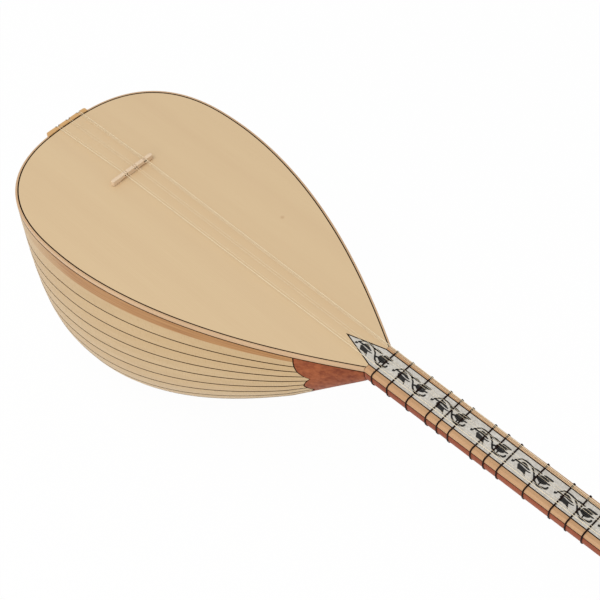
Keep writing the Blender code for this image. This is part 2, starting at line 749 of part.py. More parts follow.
def peg_mesh(name, inner_length):
    """Turned shaft with a collar and a flat T-shaped knob, standing on +Z."""
    collar = PEG_EXPOSED + PEG_COLLAR_RISE
    knob = PEG_EXPOSED + PEG_KNOB_DISTANCE
    turned = [
        (-inner_length, peg_radius(-inner_length)), (PEG_EXPOSED, peg_radius(PEG_EXPOSED)),
        (collar, PEG_COLLAR_RADIUS), (collar + PEG_COLLAR_LENGTH, PEG_COLLAR_RADIUS), (knob, PEG_RADIUS),
    ]
    profile = [(height, radius, radius) for height, radius in turned]
    for along, share in KNOB_PROFILE:
        wide = share * KNOB_HALF_WIDTH
        thick = min(KNOB_HALF_THICKNESS, KNOB_THICKNESS_SHARE * wide)
        profile.append((knob + along * KNOB_LENGTH, wide, thick))
    rings = []
    for height, wide, thick in profile:
        angles = [2 * math.pi * (side + 0.5) / PEG_SIDES for side in range(PEG_SIDES)]
        rings.append([(wide * math.cos(angle), thick * math.sin(angle), height) for angle in angles])
    return loft(name, rings, 50)


def build_pegs(woods):
    """Seven friction pegs, each turning about its own shaft."""
    front = peg_mesh("front_peg", FRONT_PEG_INNER_LENGTH)
    side = peg_mesh("side_peg", SIDE_PEG_INNER_LENGTH)
    front.materials.append(woods["peg"])
    side.materials.append(woods["peg"])
    for number, (place, axis, _) in enumerate(peg_places(), 1):
        peg = bpy.data.objects.new(f"peg_{number}", front if number <= FRONT_PEGS else side)
        bpy.context.scene.collection.objects.link(peg)
        peg.location = place
        peg.rotation_euler = axis.to_track_quat("Z", "Y").to_euler()


def string_offsets():
    """For each string its course, its place in the course and its peg."""
    near = ((1, 0.5 * PAIR_STEP, 3), (1, -0.5 * PAIR_STEP, 1))
    middle = ((0, 0.5 * PAIR_STEP, 4), (0, -0.5 * PAIR_STEP, 2))
    far = ((-1, TRIPLE_STEP, 7), (-1, 0.0, 6), (-1, -TRIPLE_STEP, 5))
    return (*near, *middle, *far)


def winding(peg, start, turns, points_per_turn):
    """Turns of a string round a peg's exposed shaft, beginning on its arrival side."""
    place, axis, arrival = peg
    ahead = Vector((-math.cos(HEAD_TILT), 0.0, -math.sin(HEAD_TILT)))
    pitch = STRING_DIAMETER + WINDING_GAP
    radius = (peg_radius(PEG_EXPOSED) + TOUCH) / math.cos(math.pi / points_per_turn)
    points = []
    for step in range(int(turns * points_per_turn) + 1):
        angle = 2 * math.pi * step / points_per_turn
        height = start + pitch * step / points_per_turn
        points.append(place + axis * height + radius * (arrival * math.cos(angle) + ahead * math.sin(angle)))
    last = (points[-1] - points[-2]).normalized()
    return [*points, points[-1] + last * STRING_DIAMETER]


def build_strings(woods):
    """Strings from the holder's slots over the bridge and the nut to the pegs."""
    gaps = []
    pegs = peg_places()
    slot_wall = HOLDER_END_X - SLOT_DEPTH
    for number, (course, offset, peg_number) in enumerate(string_offsets(), 1):
        tail_y = course * TAIL_COURSE_STEP + TAIL_COURSE_SHIFT + offset
        bridge_y = course * BRIDGE_COURSE_STEP + BRIDGE_COURSE_SHIFT + offset
        nut_y = course * NUT_COURSE_STEP + offset
        points = [Vector((slot_wall + STRING_BEND, tail_y, -SLOT_FLOOR + GAP))]
        for angle in BEND_ANGLES:
            turn = math.radians(angle)
            out, up = STRING_BEND * math.cos(turn), STRING_BEND * math.sin(turn)
            points.append(Vector((slot_wall + out, tail_y, HOLDER_TOP + up)))
        points.append(Vector((SCALE_LENGTH, bridge_y, STRING_HEIGHT_AT_BRIDGE)))
        points.append(Vector((0.0, nut_y, STRING_HEIGHT_AT_NUT)))
        points.append(Vector((-NUT_LENGTH, nut_y, STRING_HEIGHT_AT_NUT - NUT_FALL)))
        coil = winding(pegs[peg_number - 1], STRING_ARRIVALS[peg_number - 1], PEG_TURNS, POINTS_PER_TURN)
        if peg_number > FRONT_PEGS:
            points.append(edge_point(points[-1], coil[0]))
        points += coil
        gaps.append(least_self_gap(coil, STRING_DIAMETER))
        tube(f"string_{number}", points, STRING_DIAMETER, woods["string"])
    print(f"least gap between the turns of a string: {min(gaps) * 1000:.2f} mm")


def edge_point(nut_point, peg_point):
    """Where a string bends over the head's edge on its way to a side peg."""
    x = nut_point.x + EDGE_SHARE * (peg_point.x - nut_point.x)
    along = (HEAD_START_X - x) / math.cos(HEAD_TILT)
    top, _, normal = head_frame(along)
    return top + Vector((0, -head_half_width(along) - TOUCH, 0)) + normal * TOUCH


def course_places(step, shift=0.0):
    """Where the strings cross a piece, by the distance between its courses and their shift."""
    return [course * step + shift + offset for course, offset, _ in string_offsets()]


def build_nut(woods):
    """Nut on the fingerboard with a notch for each string."""
    half = NUT_HALF_WIDTH - GAP
    outline = [(-NUT_LENGTH - GAP, -half), (-GAP, -half), (-GAP, half), (-NUT_LENGTH - GAP, half)]
    nut = add_object("nut", prism("nut", outline, GAP, NUT_HEIGHT), woods["bone"])
    floor = STRING_HEIGHT_AT_NUT - TOUCH - NUT_FALL
    cuts = [
        ((-NUT_LENGTH - CUT, y - NOTCH_WIDTH / 2, floor), (CUT, y + NOTCH_WIDTH / 2, NUT_HEIGHT + CUT))
        for y in course_places(NUT_COURSE_STEP)
    ]
    cut_away(nut, boxes("nut_notches", cuts))


def build_bridge(woods):
    """Loose bridge: a flat bar with rounded ends, notches on top and arches between its feet."""
    half = BRIDGE_THICKNESS / 2
    corner = BRIDGE_END_RADIUS
    outline = []
    for quadrant, (side_x, side_y) in enumerate(((1, 1), (-1, 1), (-1, -1), (1, -1))):
        for step in range(CORNER_STEPS + 1):
            angle = math.pi / 2 * (quadrant + step / CORNER_STEPS)
            x = side_x * (half - corner) + corner * math.cos(angle)
            y = side_y * (BRIDGE_HALF_WIDTH - corner) + corner * math.sin(angle)
            outline.append((x, y))
    frame = bpy.data.objects.new("bridge_place", None)
    bpy.context.scene.collection.objects.link(frame)
    frame.location = (SCALE_LENGTH, 0.0, 0.0)
    bridge = add_object("bridge", prism("bridge", outline, GAP, BRIDGE_HEIGHT), woods["bridge"], frame)
    tail_slope = (STRING_HEIGHT_AT_BRIDGE - HOLDER_TOP) / (HOLDER_FACE_X - SCALE_LENGTH)
    floor = STRING_HEIGHT_AT_BRIDGE - TOUCH - tail_slope * (half + BRIDGE_TRAVEL)
    past = BRIDGE_THICKNESS
    cuts = [
        ((-past, y - NOTCH_WIDTH / 2, floor), (past, y + NOTCH_WIDTH / 2, BRIDGE_HEIGHT + CUT))
        for y in course_places(BRIDGE_COURSE_STEP, BRIDGE_COURSE_SHIFT)
    ]
    inner, outer = BRIDGE_FOOT / 2, BRIDGE_HALF_WIDTH - BRIDGE_FOOT
    for low, high in ((inner, outer), (-outer, -inner)):
        cuts.append(((-past, low, -CUT), (past, high, BRIDGE_ARCH)))
    cut_away(bridge, boxes("bridge_cuts", cuts, frame))


def build_string_holder(woods):
    """Plate on the tail; the strings hook over its upper edge in three slots."""
    flat = HOLDER_HALF_WIDTH - HOLDER_ROUNDING
    half = [(flat * column / HOLDER_COLUMNS, HOLDER_END_X) for column in range(HOLDER_COLUMNS)]
    for step in range(CORNER_STEPS + 1):
        turn = math.pi / 2 * step / CORNER_STEPS
        y = flat + HOLDER_ROUNDING * math.sin(turn)
        half.append((y, HOLDER_END_X - HOLDER_ROUNDING * (1 - math.cos(turn))))
    rings = []
    for y, outer in [*((-y, x) for y, x in half[:0:-1]), *half]:
        inner = end_x(y) + GAP
        chin = inner + (outer - inner) * HOLDER_END_LENGTH_SHARE
        ring = [(inner, HOLDER_TOP), (outer, HOLDER_TOP), (outer, -HOLDER_CHIN_DEPTH), (chin, -HOLDER_DEPTH),
                (inner, -HOLDER_DEPTH)]
        rings.append([(x, y, z) for x, z in ring])
    holder = add_object("string_holder", loft("string_holder", rings), woods["holder"])
    cuts = []
    for course in (-1, 0, 1):
        middle = course * TAIL_COURSE_STEP + TAIL_COURSE_SHIFT
        cuts.append(((HOLDER_END_X - SLOT_DEPTH, middle - SLOT_WIDTH / 2, -SLOT_FLOOR),
                     (HOLDER_END_X + CUT, middle + SLOT_WIDTH / 2, HOLDER_TOP + CUT)))
    cut_away(holder, boxes("holder_slots", cuts))


def main():
    """Build every piece."""
    clear_scene()
    woods = {
        "spruce": material("spruce", (0.69, 0.51, 0.30), 0.42),
        "rib": material("maple", (0.62, 0.44, 0.29), 0.35),
        "band": material("band wood", (0.60, 0.41, 0.26), 0.38),
        "heel": material("heel mahogany", (0.37, 0.12, 0.06), 0.35),
        "neck": material("mahogany", (0.37, 0.12, 0.06), 0.35),
        "block": material("linden", (0.62, 0.47, 0.30), 0.7),
        "strip": material("strip wood", (0.70, 0.42, 0.20), 0.35),
        "pearl": material("pearl plate", (0.60, 0.58, 0.52), 0.25),
        "bone": material("bone", (0.80, 0.76, 0.64), 0.4),
        "bridge": material("bridge wood", (0.63, 0.45, 0.32), 0.5),
        "holder": material("holder wood", (0.60, 0.34, 0.12), 0.45),
        "peg": material("peg wood", (0.05, 0.03, 0.02), 0.3),
        "fret": material("nylon", (0.03, 0.012, 0.01), 0.35),
        "string": material("string", (0.72, 0.52, 0.32), 0.3, 0.6),
    }
    build_bowl(woods)
    build_throat_block(woods)
    build_tail_block(woods)
    build_rim_bands(woods)
    build_soundboard(woods)
    build_neck(woods)
    build_strips(woods)
    build_head(woods)
    build_pegs(woods)
    build_frets(woods)
    build_nut(woods)
    build_bridge(woods)
    build_string_holder(woods)
    build_strings(woods)


main()
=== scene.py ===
"""Looks of the long-neck saz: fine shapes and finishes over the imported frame.

Metres, in the frame's own axes: +X runs from the nut to the tail, +Z out of the soundboard, and
-Y is the side of the side pegs. The origin is the middle of the nut's front edge.
"""

import math

import bmesh
import bpy
import numpy as np
from mathutils import Matrix, Vector


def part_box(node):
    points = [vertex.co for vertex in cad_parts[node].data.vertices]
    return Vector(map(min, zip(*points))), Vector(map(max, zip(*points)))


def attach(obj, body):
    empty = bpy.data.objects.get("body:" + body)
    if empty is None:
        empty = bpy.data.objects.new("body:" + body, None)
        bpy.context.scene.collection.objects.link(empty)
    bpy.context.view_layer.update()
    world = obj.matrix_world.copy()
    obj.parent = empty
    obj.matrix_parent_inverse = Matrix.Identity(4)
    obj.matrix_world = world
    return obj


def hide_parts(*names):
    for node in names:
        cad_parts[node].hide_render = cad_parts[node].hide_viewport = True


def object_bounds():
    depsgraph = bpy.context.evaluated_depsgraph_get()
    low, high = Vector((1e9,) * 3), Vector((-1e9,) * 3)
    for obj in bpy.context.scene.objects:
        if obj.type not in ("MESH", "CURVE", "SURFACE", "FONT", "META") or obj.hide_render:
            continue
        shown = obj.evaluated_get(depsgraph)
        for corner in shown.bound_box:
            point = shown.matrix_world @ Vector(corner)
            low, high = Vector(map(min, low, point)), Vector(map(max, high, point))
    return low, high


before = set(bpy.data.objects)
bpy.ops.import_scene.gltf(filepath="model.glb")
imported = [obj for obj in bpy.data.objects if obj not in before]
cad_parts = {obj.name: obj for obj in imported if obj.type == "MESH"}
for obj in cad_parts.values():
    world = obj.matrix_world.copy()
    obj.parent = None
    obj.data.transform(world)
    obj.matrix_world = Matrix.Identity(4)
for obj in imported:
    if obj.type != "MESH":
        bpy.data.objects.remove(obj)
cad_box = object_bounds()

# Body, from the frame where it shows a size directly
GAP = 0.0003
JOINT_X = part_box("neck")[1].x
TAIL_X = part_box("rim_band_near")[1].x
BODY_HALF_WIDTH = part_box("rim_band_near")[1].y
SCALE_LENGTH = (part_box("bridge")[0].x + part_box("bridge")[1].x) / 2
WIDEST_X = SCALE_LENGTH - 0.0316
JOINT_HALF_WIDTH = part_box("neck")[1].y
TAIL_POWER = 2.6
FLANK_POWER = 1.82
FLANK_ROUNDNESS = 1.022
BOWL_DEPTH_RATIO = 2.0
SIDE_FULLNESS = 1.30
BACK_FULLNESS = 0.985
DEPTH_GROWTH = 0.283
RIB_THICKNESS = 0.003
BOWL_RIBS = 24
RIBS_PER_NODE = 4
SIDE_RIB_SHARE = 0.0628
RIB_SHARE = (1 - 2 * SIDE_RIB_SHARE) / BOWL_RIBS
RIB_END_HALF_WIDTH = 0.006
RIB_CROWN = 0.00022
SEAM_WIDTH = 0.0012
SEAM_DEPTH = 0.0012
BAND_HEIGHT = 0.0046
BAND_WIDTH = 0.002
BAND_ROUNDING = 0.0007
EDGE_LINE_WIDTH = 0.0012
BOARD_THICKNESS = 0.003
BOWL_TOP = -(BAND_HEIGHT + GAP)
THROAT_BLOCK_END_X = JOINT_X + 0.067

# Heel edge
HEEL_SWELL_POWER = 0.35
HEEL_CUSP_X = JOINT_X + 0.0428
HEEL_LOBE = 0.0062
HEEL_LOBE_POWER = 1.6
HEEL_SIDE_X = JOINT_X + 0.0556
HEEL_SIDE_POWER = 3.2
HEEL_CUSPS = (2.5, 5.9, 9.0, 12.0)
HEEL_LINE_WIDTH = 0.0010

# Neck and fingerboard
NECK_START_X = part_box("neck")[0].x
NUT_HALF_WIDTH = 0.0152
NECK_DEPTH_AT_NUT = 0.0245
NECK_DEPTH_AT_JOINT = -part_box("neck")[0].z
NECK_SIDE_FULLNESS = 1.2
NECK_BACK_FULLNESS = 0.65
NECK_DEPTH_FACTOR = (NECK_DEPTH_AT_JOINT + BOWL_TOP) / (JOINT_HALF_WIDTH * BOWL_DEPTH_RATIO)
NECK_SHAPE = (NECK_DEPTH_FACTOR, NECK_SIDE_FULLNESS, NECK_BACK_FULLNESS)
STRIP_DEPTH_AT_NUT = 0.0034
STRIP_ROUNDING_AT_NUT = 0.0015
STRIP_ROUNDING_AT_JOINT = 0.0030
INLAY_HALF_WIDTH_AT_NUT = 0.0113
INLAY_HALF_WIDTH_AT_JOINT = 0.0116
INLAY_TIP_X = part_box("inlay_plate")[1].x
INLAY_THICKNESS = 0.0015
PURFLING_WIDTH = 0.0010
VINE_RELIEF = 0.00008

# Headstock and pegs
HEAD_LENGTH = 0.200
HEAD_TILT = math.radians(9)
HEAD_DROP = 0.002
HEAD_THICKNESS = 0.0185
HEAD_END_THICKNESS = 0.0150
HEAD_END_HALF_WIDTH = 0.0125
HEAD_NOSE = 0.012
HEAD_START_X = NECK_START_X - GAP
FIRST_PEG = 0.044
PEG_STEP = 0.038
FRONT_PEGS = 4
SIDE_PEGS = 3
FRONT_PEG_OFFSET = 0.0050
SIDE_PEG_DEPTH = 0.0090
PEG_RADIUS = 0.0034
PEG_TAPER = 0.02
PEG_INNER_LENGTH = 0.0125
PEG_EXPOSED = 0.0125
PEG_COLLAR_RADIUS = 0.0062
KNOB_HALF_WIDTH = 0.0125
KNOB_HALF_THICKNESS = 0.0040
KNOB_LENGTH = 0.0195

# Frets and strings
FRET_COUNT = 23
FRET_STRAND = 0.0007
FRET_LAY = 0.00072
KNOT_RADIUS = 0.0007
WOUND_DIAMETER = 0.0005
PLAIN_DIAMETER = 0.00022
STRING_DIAMETER = 0.0005
STRING_BEND = 0.00075
STRING_ARRIVALS = (0.0068, 0.0068, 0.0044, 0.0022, 0.0026, 0.0026, 0.0026)
PAIR_STEP = 0.0024
TRIPLE_STEP = 0.0012
NUT_COURSE_STEP = 0.0080
BRIDGE_COURSE_STEP = 0.0123
BRIDGE_COURSE_SHIFT = -0.0036
TAIL_COURSE_STEP = 0.0135
TAIL_COURSE_SHIFT = -0.0031
STRING_HEIGHT_AT_NUT = 0.0019
STRING_HEIGHT_AT_BRIDGE = 0.0056
PEG_TURNS = 2.5

# Nut, bridge and string holder
NUT_LENGTH = 0.0047
NUT_HEIGHT = 0.0024
BRIDGE_HALF_WIDTH = 0.0258
BRIDGE_THICKNESS = 0.0040
BRIDGE_END_RADIUS = 0.0016
BRIDGE_HEIGHT = 0.0062
BRIDGE_FOOT = 0.0090
BRIDGE_ARCH = 0.0022
HOLDER_HALF_WIDTH = 0.0250
HOLDER_FACE_X = TAIL_X + GAP
HOLDER_END_X = HOLDER_FACE_X + 0.0024
HOLDER_TOP = 0.0012
HOLDER_DEPTH = 0.020
HOLDER_ROUNDING = 0.0020
HOLDER_CHIN_DEPTH = 0.012
HOLDER_END_LENGTH_SHARE = 0.45
SLOT_WIDTH = 0.0040
SLOT_DEPTH = 0.0014
SLOT_FLOOR = 0.009

# Marks: a small knot in the soundboard and a thin pale line across the inlaid plate
BOARD_KNOT = (0.732, -0.058, 0.0)
PLATE_PALE_LINE_X = 0.4335

# How finely the curved surfaces are drawn
TAIL_STEPS = 44
FLANK_STEPS = 60
HEEL_STEPS = 6
HEEL_RINGS = 16
RIB_COLUMNS = 6
SECTION_STEPS = 160
NECK_STEPS = 40


# Helpers for meshes and objects


def ride(piece, body, slot, *nodes):
    """Put a piece on its body and hide the nodes that it stands for; its slot is not used."""
    if nodes:
        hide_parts(*nodes)
    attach(piece, body)
    return piece


def link(name, data, stuff):
    """New object with its material."""
    piece = bpy.data.objects.new(name, data)
    data.materials.append(stuff)
    bpy.context.scene.collection.objects.link(piece)
    return piece


def finish_mesh(mesh, smooth_angle):
    """Normals turned out, and smooth shading up to an angle."""
    shell = bmesh.new()
    shell.from_mesh(mesh)
    bmesh.ops.recalc_face_normals(shell, faces=shell.faces)
    shell.to_mesh(mesh)
    shell.free()
    mesh.shade_smooth()
    mesh.set_sharp_from_angle(angle=math.radians(smooth_angle))


def put_attribute(mesh, name, kind, values):
    """Per-point values for the materials."""
    made = mesh.attributes.new(name, kind, "POINT")
    field = "vector" if kind == "FLOAT_VECTOR" else "value"
    made.data.foreach_set(field, np.asarray(values, dtype=np.float32).ravel())


def skin(name, parts, stuff, smooth_angle=35, values=None):
    """Object whose every part is a closed skin over rings of points, with flat ends."""
    points = []
    faces = []
    for rings in parts:
        start = len(points)
        count = len(rings[0])
        for ring in rings:
            points += [tuple(point) for point in ring]
        for row in range(len(rings) - 1):
            for side in range(count):
                following = (side + 1) % count
                here = start + row * count
                faces.append((here + side, here + following, here + count + following, here + count + side))
        faces.append(tuple(range(start, start + count)))
        faces.append(tuple(range(len(points) - count, len(points))))
    mesh = bpy.data.meshes.new(name)
    mesh.from_pydata(points, [], faces)
    for key, kind, field in values or ():
        put_attribute(mesh, key, kind, field)
    finish_mesh(mesh, smooth_angle)
    return link(name, mesh, stuff)


def strip_skin(name, parts, stuff, smooth_angle=35, values=None):
    """Like skin, for wide thin shells: each ring holds its outer row and then its inner row backwards."""
    points = []
    faces = []
    for rings in parts:
        start = len(points)
        count = len(rings[0])
        half = count // 2
        for ring in rings:
            points += [tuple(point) for point in ring]
        for row in range(len(rings) - 1):
            here = start + row * count
            for side in range(count):
                following = (side + 1) % count
                faces.append((here + side, here + following, here + count + following, here + count + side))
        for here in (start, len(points) - count):
            for side in range(half - 1):
                faces.append((here + side, here + side + 1, here + count - 2 - side, here + count - 1 - side))
    mesh = bpy.data.meshes.new(name)
    mesh.from_pydata(points, [], faces)
    for key, kind, field in values or ():
        put_attribute(mesh, key, kind, field)
    finish_mesh(mesh, smooth_angle)
    return link(name, mesh, stuff)


def cut(piece, rings_list):
    """Take closed skins out of a piece, at once."""
    stuff = piece.data.materials[0]
    tool = skin(piece.name + "_cut", rings_list, stuff)
    modifier = piece.modifiers.new("cut", "BOOLEAN")
    modifier.operation = "DIFFERENCE"
    modifier.solver = "EXACT"
    modifier.object = tool
    apply_modifiers(piece)
    bpy.data.objects.remove(tool, do_unlink=True)
    return piece


def soften(piece, width, segments=3, angle=35):
    """Small rounded edges."""
    modifier = piece.modifiers.new("soften", "BEVEL")
    modifier.width = width
    modifier.segments = segments
    modifier.limit_method = "ANGLE"
    modifier.angle_limit = math.radians(angle)
    modifier.miter_outer = "MITER_ARC"
    apply_modifiers(piece)
    finish_mesh(piece.data, angle)
    return piece


def apply_modifiers(piece):
    """Replace a piece's mesh by what its modifiers make of it."""
    shape = piece.evaluated_get(bpy.context.evaluated_depsgraph_get())
    mesh = bpy.data.meshes.new_from_object(shape)
    piece.modifiers.clear()
    piece.data = mesh


def box_rings(low, high):
    """Rings of a plain box, for cutting."""
    corners = ((low[1], low[2]), (high[1], low[2]), (high[1], high[2]), (low[1], high[2]))
    return [[(x, y, z) for y, z in corners] for x in (low[0], high[0])]


def plan_rings(outline, heights):
    """Rings of a plan outline at several heights."""
    return [[(x, y, z) for x, y in outline] for z in heights]


def smooth_path(points, per_span=6, closed=False):
    """Catmull-Rom curve through points."""
    points = [np.asarray(point, float) for point in points]
    count = len(points)
    made = []
    for index in range(count if closed else count - 1):
        if closed:
            a, b, c, d = (points[(index + shift) % count] for shift in (-1, 0, 1, 2))
        else:
            b, c = points[index], points[index + 1]
            a = points[index - 1] if index else 2 * b - c
            d = points[index + 2] if index + 2 < count else 2 * c - b
        for step in range(per_span):
            t = step / per_span
            made.append(0.5 * (2 * b + (c - a) * t + (2 * a - 5 * b + 4 * c - d) * t**2
                               + (3 * b - a - 3 * c + d) * t**3))
    return made if closed else [*made, points[-1]]


def tube(name, points, radius, stuff, resolution=3):
    """Round tube along points, with closed ends."""
    curve = bpy.data.curves.new(name, "CURVE")
    curve.dimensions = "3D"
    curve.bevel_depth = radius
    curve.bevel_resolution = resolution
    curve.use_fill_caps = True
    spline = curve.splines.new("POLY")
    spline.points.add(len(points) - 1)
    for target, point in zip(spline.points, points):
        target.co = (*point, 1.0)
    return link(name, curve, stuff)


# Materials


def tone(red, green, blue):
    """Linear colour from one written in 0 to 255."""
    parts = [value / 255 for value in (red, green, blue)]
    return (*(v / 12.92 if v <= 0.04045 else ((v + 0.055) / 1.055) ** 2.4 for v in parts), 1.0)


def add_node(tree, kind, inputs=None, **settings):
    """Shader node with its settings; an input is a value or another node's socket."""
    made = tree.nodes.new("ShaderNode" + kind)
    for key, value in settings.items():
        setattr(made, key, value)
    for key, value in (inputs or {}).items():
        if isinstance(value, bpy.types.NodeSocket):
            tree.links.new(value, made.inputs[key])
        else:
            made.inputs[key].default_value = value
    return made


def new_material(name, roughness, coat=0.0, metallic=0.0, specular=0.3):
    """Material with its Principled shader."""
    made = bpy.data.materials.new(name)
    made.use_nodes = True
    tree = made.node_tree
    shader = tree.nodes["Principled BSDF"]
    shader.inputs["Roughness"].default_value = roughness
    shader.inputs["Metallic"].default_value = metallic
    shader.inputs["Specular IOR Level"].default_value = specular
    shader.inputs["Coat Weight"].default_value = coat
    shader.inputs["Coat Roughness"].default_value = 0.25
    return made, tree, shader


def mix(tree, share, one, two, how="MIX"):
    """Two colours mixed by a share."""
    made = add_node(tree, "Mix", data_type="RGBA", blend_type=how)
    for socket, value in ((made.inputs[0], share), (made.inputs[6], one), (made.inputs[7], two)):
        if isinstance(value, bpy.types.NodeSocket):
            tree.links.new(value, socket)
        else:
            socket.default_value = value
    return made.outputs[2]


def spread(tree, value, low, high, to_low=0.0, to_high=1.0):
    """Value stretched from one range to another, and clamped."""
    made = add_node(tree, "MapRange", {"Value": value, "From Min": low, "From Max": high,
                                       "To Min": to_low, "To Max": to_high})
    return made.outputs[0]


def stretched(tree, size, coordinates="Object"):
    """Coordinates in units of a grain's length, width and depth."""
    if coordinates == "Object":
        source = add_node(tree, "TexCoord").outputs["Object"]
    else:
        source = add_node(tree, "Attribute", attribute_name=coordinates).outputs["Vector"]
    scale = tuple(1 / part for part in size)
    return add_node(tree, "Mapping", {"Vector": source, "Scale": scale}).outputs[0]


def noise(tree, place, scale=1.0, detail=3.0, rough=0.5, distortion=0.0):
    """Noise value at a place."""
    return add_node(tree, "TexNoise", {"Vector": place, "Scale": scale, "Detail": detail, "Roughness": rough,
                                       "Distortion": distortion}).outputs[0]


def add_bump(tree, shader, height, distance, strength=1.0):
    """Relief from a height between 0 and 1."""
    made = add_node(tree, "Bump", {"Height": height, "Distance": distance, "Strength": strength})
    tree.links.new(made.outputs[0], shader.inputs["Normal"])


def wood(name, light, dark, fibre=(0.05, 0.0009, 0.0009), contrast=0.5, figure=0.3, rough=0.38, coat=0.15,
         relief=0.00003, coordinates="Object", pores=0.0, specular=0.3):
    """Wood with fine fibres along the grain, broad tone changes and, if wanted, dark pores."""
    made, tree, shader = new_material(name, rough, coat, specular=specular)
    fine = noise(tree, stretched(tree, fibre, coordinates), detail=5.0, rough=0.6, distortion=0.2)
    wide_size = tuple(part * step for part, step in zip(fibre, (2.2, 14.0, 14.0)))
    wide = noise(tree, stretched(tree, wide_size, coordinates), detail=2.0)
    share = add_node(tree, "Math", {0: spread(tree, fine, 0.3, 0.7, 0.0, contrast),
                                    1: spread(tree, wide, 0.3, 0.7, 0.0, figure)}, operation="ADD").outputs[0]
    colour = mix(tree, share, light, dark)
    if pores:
        dashes = noise(tree, stretched(tree, (0.006, 0.00035, 0.00035), coordinates), detail=1.0)
        pore = spread(tree, dashes, 0.66, 0.74, 0.0, pores)
        colour = mix(tree, pore, colour, tuple(0.35 * part for part in dark[:3]) + (1.0,))
    tree.links.new(colour, shader.inputs["Base Color"])
    tree.links.new(spread(tree, fine, 0.25, 0.75, rough - 0.05, rough + 0.07), shader.inputs["Roughness"])
    add_bump(tree, shader, fine, relief)
    return made, tree, shader, colour


def board_wood():
    """Pale spruce with straight even year lines, broad soft stripes and a small knot."""
    made, tree, shader = new_material("spruce", 0.42, 0.12)
    light = tone(221, 194, 154)
    place = add_node(tree, "TexCoord").outputs["Object"]
    sway = noise(tree, stretched(tree, (0.25, 0.03, 0.03)), detail=1.0)
    swayed = add_node(tree, "VectorMath", {0: place, 1: (0.0, 0.0, 0.0)}, operation="ADD")
    shift = add_node(tree, "CombineXYZ", {"Y": spread(tree, sway, 0.0, 1.0, -0.004, 0.004)})
    tree.links.new(shift.outputs[0], swayed.inputs[1])
    lines = add_node(tree, "TexWave", {"Vector": swayed.outputs[0], "Scale": 230.0, "Distortion": 1.2,
                                       "Detail": 2.0, "Detail Scale": 0.4},
                     wave_type="BANDS", bands_direction="Y").outputs["Fac"]
    fibre = noise(tree, stretched(tree, (0.05, 0.0008, 0.001)), detail=4.0)
    stripe = noise(tree, stretched(tree, (0.9, 0.028, 0.05)), detail=2.0)
    colour = mix(tree, spread(tree, lines, 0.55, 1.0, 0.0, 0.22), light, tone(206, 174, 130))
    colour = mix(tree, spread(tree, fibre, 0.35, 0.75, 0.0, 0.28), colour, tone(210, 180, 137))
    colour = mix(tree, spread(tree, stripe, 0.35, 0.70, 0.0, 0.45), colour, tone(212, 182, 143))
    near = add_node(tree, "VectorMath", {0: place, 1: BOARD_KNOT}, operation="DISTANCE").outputs["Value"]
    colour = mix(tree, spread(tree, near, 0.0010, 0.0026, 0.30, 0.0), colour, tone(170, 124, 84))
    tree.links.new(colour, shader.inputs["Base Color"])
    tree.links.new(spread(tree, fibre, 0.3, 0.7, 0.38, 0.48), shader.inputs["Roughness"])
    add_bump(tree, shader, fibre, 0.00002)
    return made


def rib_wood():
    """Cream ribs, each of its own tone; the side rib gets a painted brown shade on its upper half."""
    made, tree, shader, colour = wood(
        "rib_wood", tone(208, 180, 138), tone(190, 160, 116), fibre=(0.05, 0.0012, 0.002), contrast=0.45, figure=0.4,
        rough=0.42, coat=0.04, coordinates="grain", specular=0.22,
    )
    rays = noise(tree, stretched(tree, (0.0011, 0.009, 0.01), "grain"), detail=2.0)
    colour = mix(tree, spread(tree, rays, 0.5, 0.72, 0.0, 0.55), colour, tone(184, 152, 108))
    own = add_node(tree, "Attribute", attribute_name="own_tone").outputs["Fac"]
    colour = mix(tree, spread(tree, own, 0.0, 1.0, 0.0, 0.35), colour, tone(196, 162, 114))
    # Painted shade: a brown band on the side rib's upper half, strongest at mid-length, mixed over the wood by a
    # per-point share.
    heart = add_node(tree, "Attribute", attribute_name="heart").outputs["Fac"]
    streaks = noise(tree, stretched(tree, (0.06, 0.0016, 0.002), "grain"), detail=4.0)
    shade_brown = mix(tree, spread(tree, streaks, 0.35, 0.7), tone(184, 136, 84), tone(158, 108, 60))
    edge = add_node(tree, "Math", {0: heart, 1: spread(tree, streaks, 0.3, 0.7, -0.08, 0.08)}, operation="ADD")
    colour = mix(tree, spread(tree, edge.outputs[0], 0.30, 0.70), colour, shade_brown)
    tree.links.new(colour, shader.inputs["Base Color"])
    return made


def pearl_plate():
    """Grey-white pearl-like plate: soft cloudy patches with slightly different sheen."""
    made, tree, shader = new_material("pearl_plate", 0.28, 0.3)
    place = stretched(tree, (0.0022, 0.0016, 0.0022))
    bend = noise(tree, place, scale=0.6, detail=2.0, distortion=1.4)
    flakes = add_node(tree, "TexVoronoi", {"Vector": place, "Scale": 1.1, "Randomness": 1.0},
                      feature="SMOOTH_F1", distance="EUCLIDEAN")
    clouds = noise(tree, place, scale=0.9, detail=4.0, distortion=2.0)
    colour = mix(tree, spread(tree, bend, 0.3, 0.7), tone(214, 210, 202), tone(192, 187, 178))
    colour = mix(tree, spread(tree, clouds, 0.45, 0.75, 0.0, 0.7), colour, tone(178, 172, 160))
    colour = mix(tree, spread(tree, flakes.outputs["Distance"], 0.0, 0.5, 0.50, 0.0), colour, tone(236, 233, 226))
    # A thin paler line across the plate at one place along the neck.
    split = add_node(tree, "SeparateXYZ", {0: add_node(tree, "TexCoord").outputs["Object"]}).outputs["X"]
    away = add_node(tree, "Math", {0: split, 1: PLATE_PALE_LINE_X}, operation="SUBTRACT").outputs[0]
    away = add_node(tree, "Math", {0: away}, operation="ABSOLUTE").outputs[0]
    colour = mix(tree, spread(tree, away, 0.0001, 0.0004, 0.6, 0.0), colour, tone(240, 238, 232))
    tree.links.new(colour, shader.inputs["Base Color"])
    tree.links.new(spread(tree, clouds, 0.3, 0.7, 0.2, 0.4), shader.inputs["Roughness"])
    add_bump(tree, shader, clouds, 0.00001)
    return made


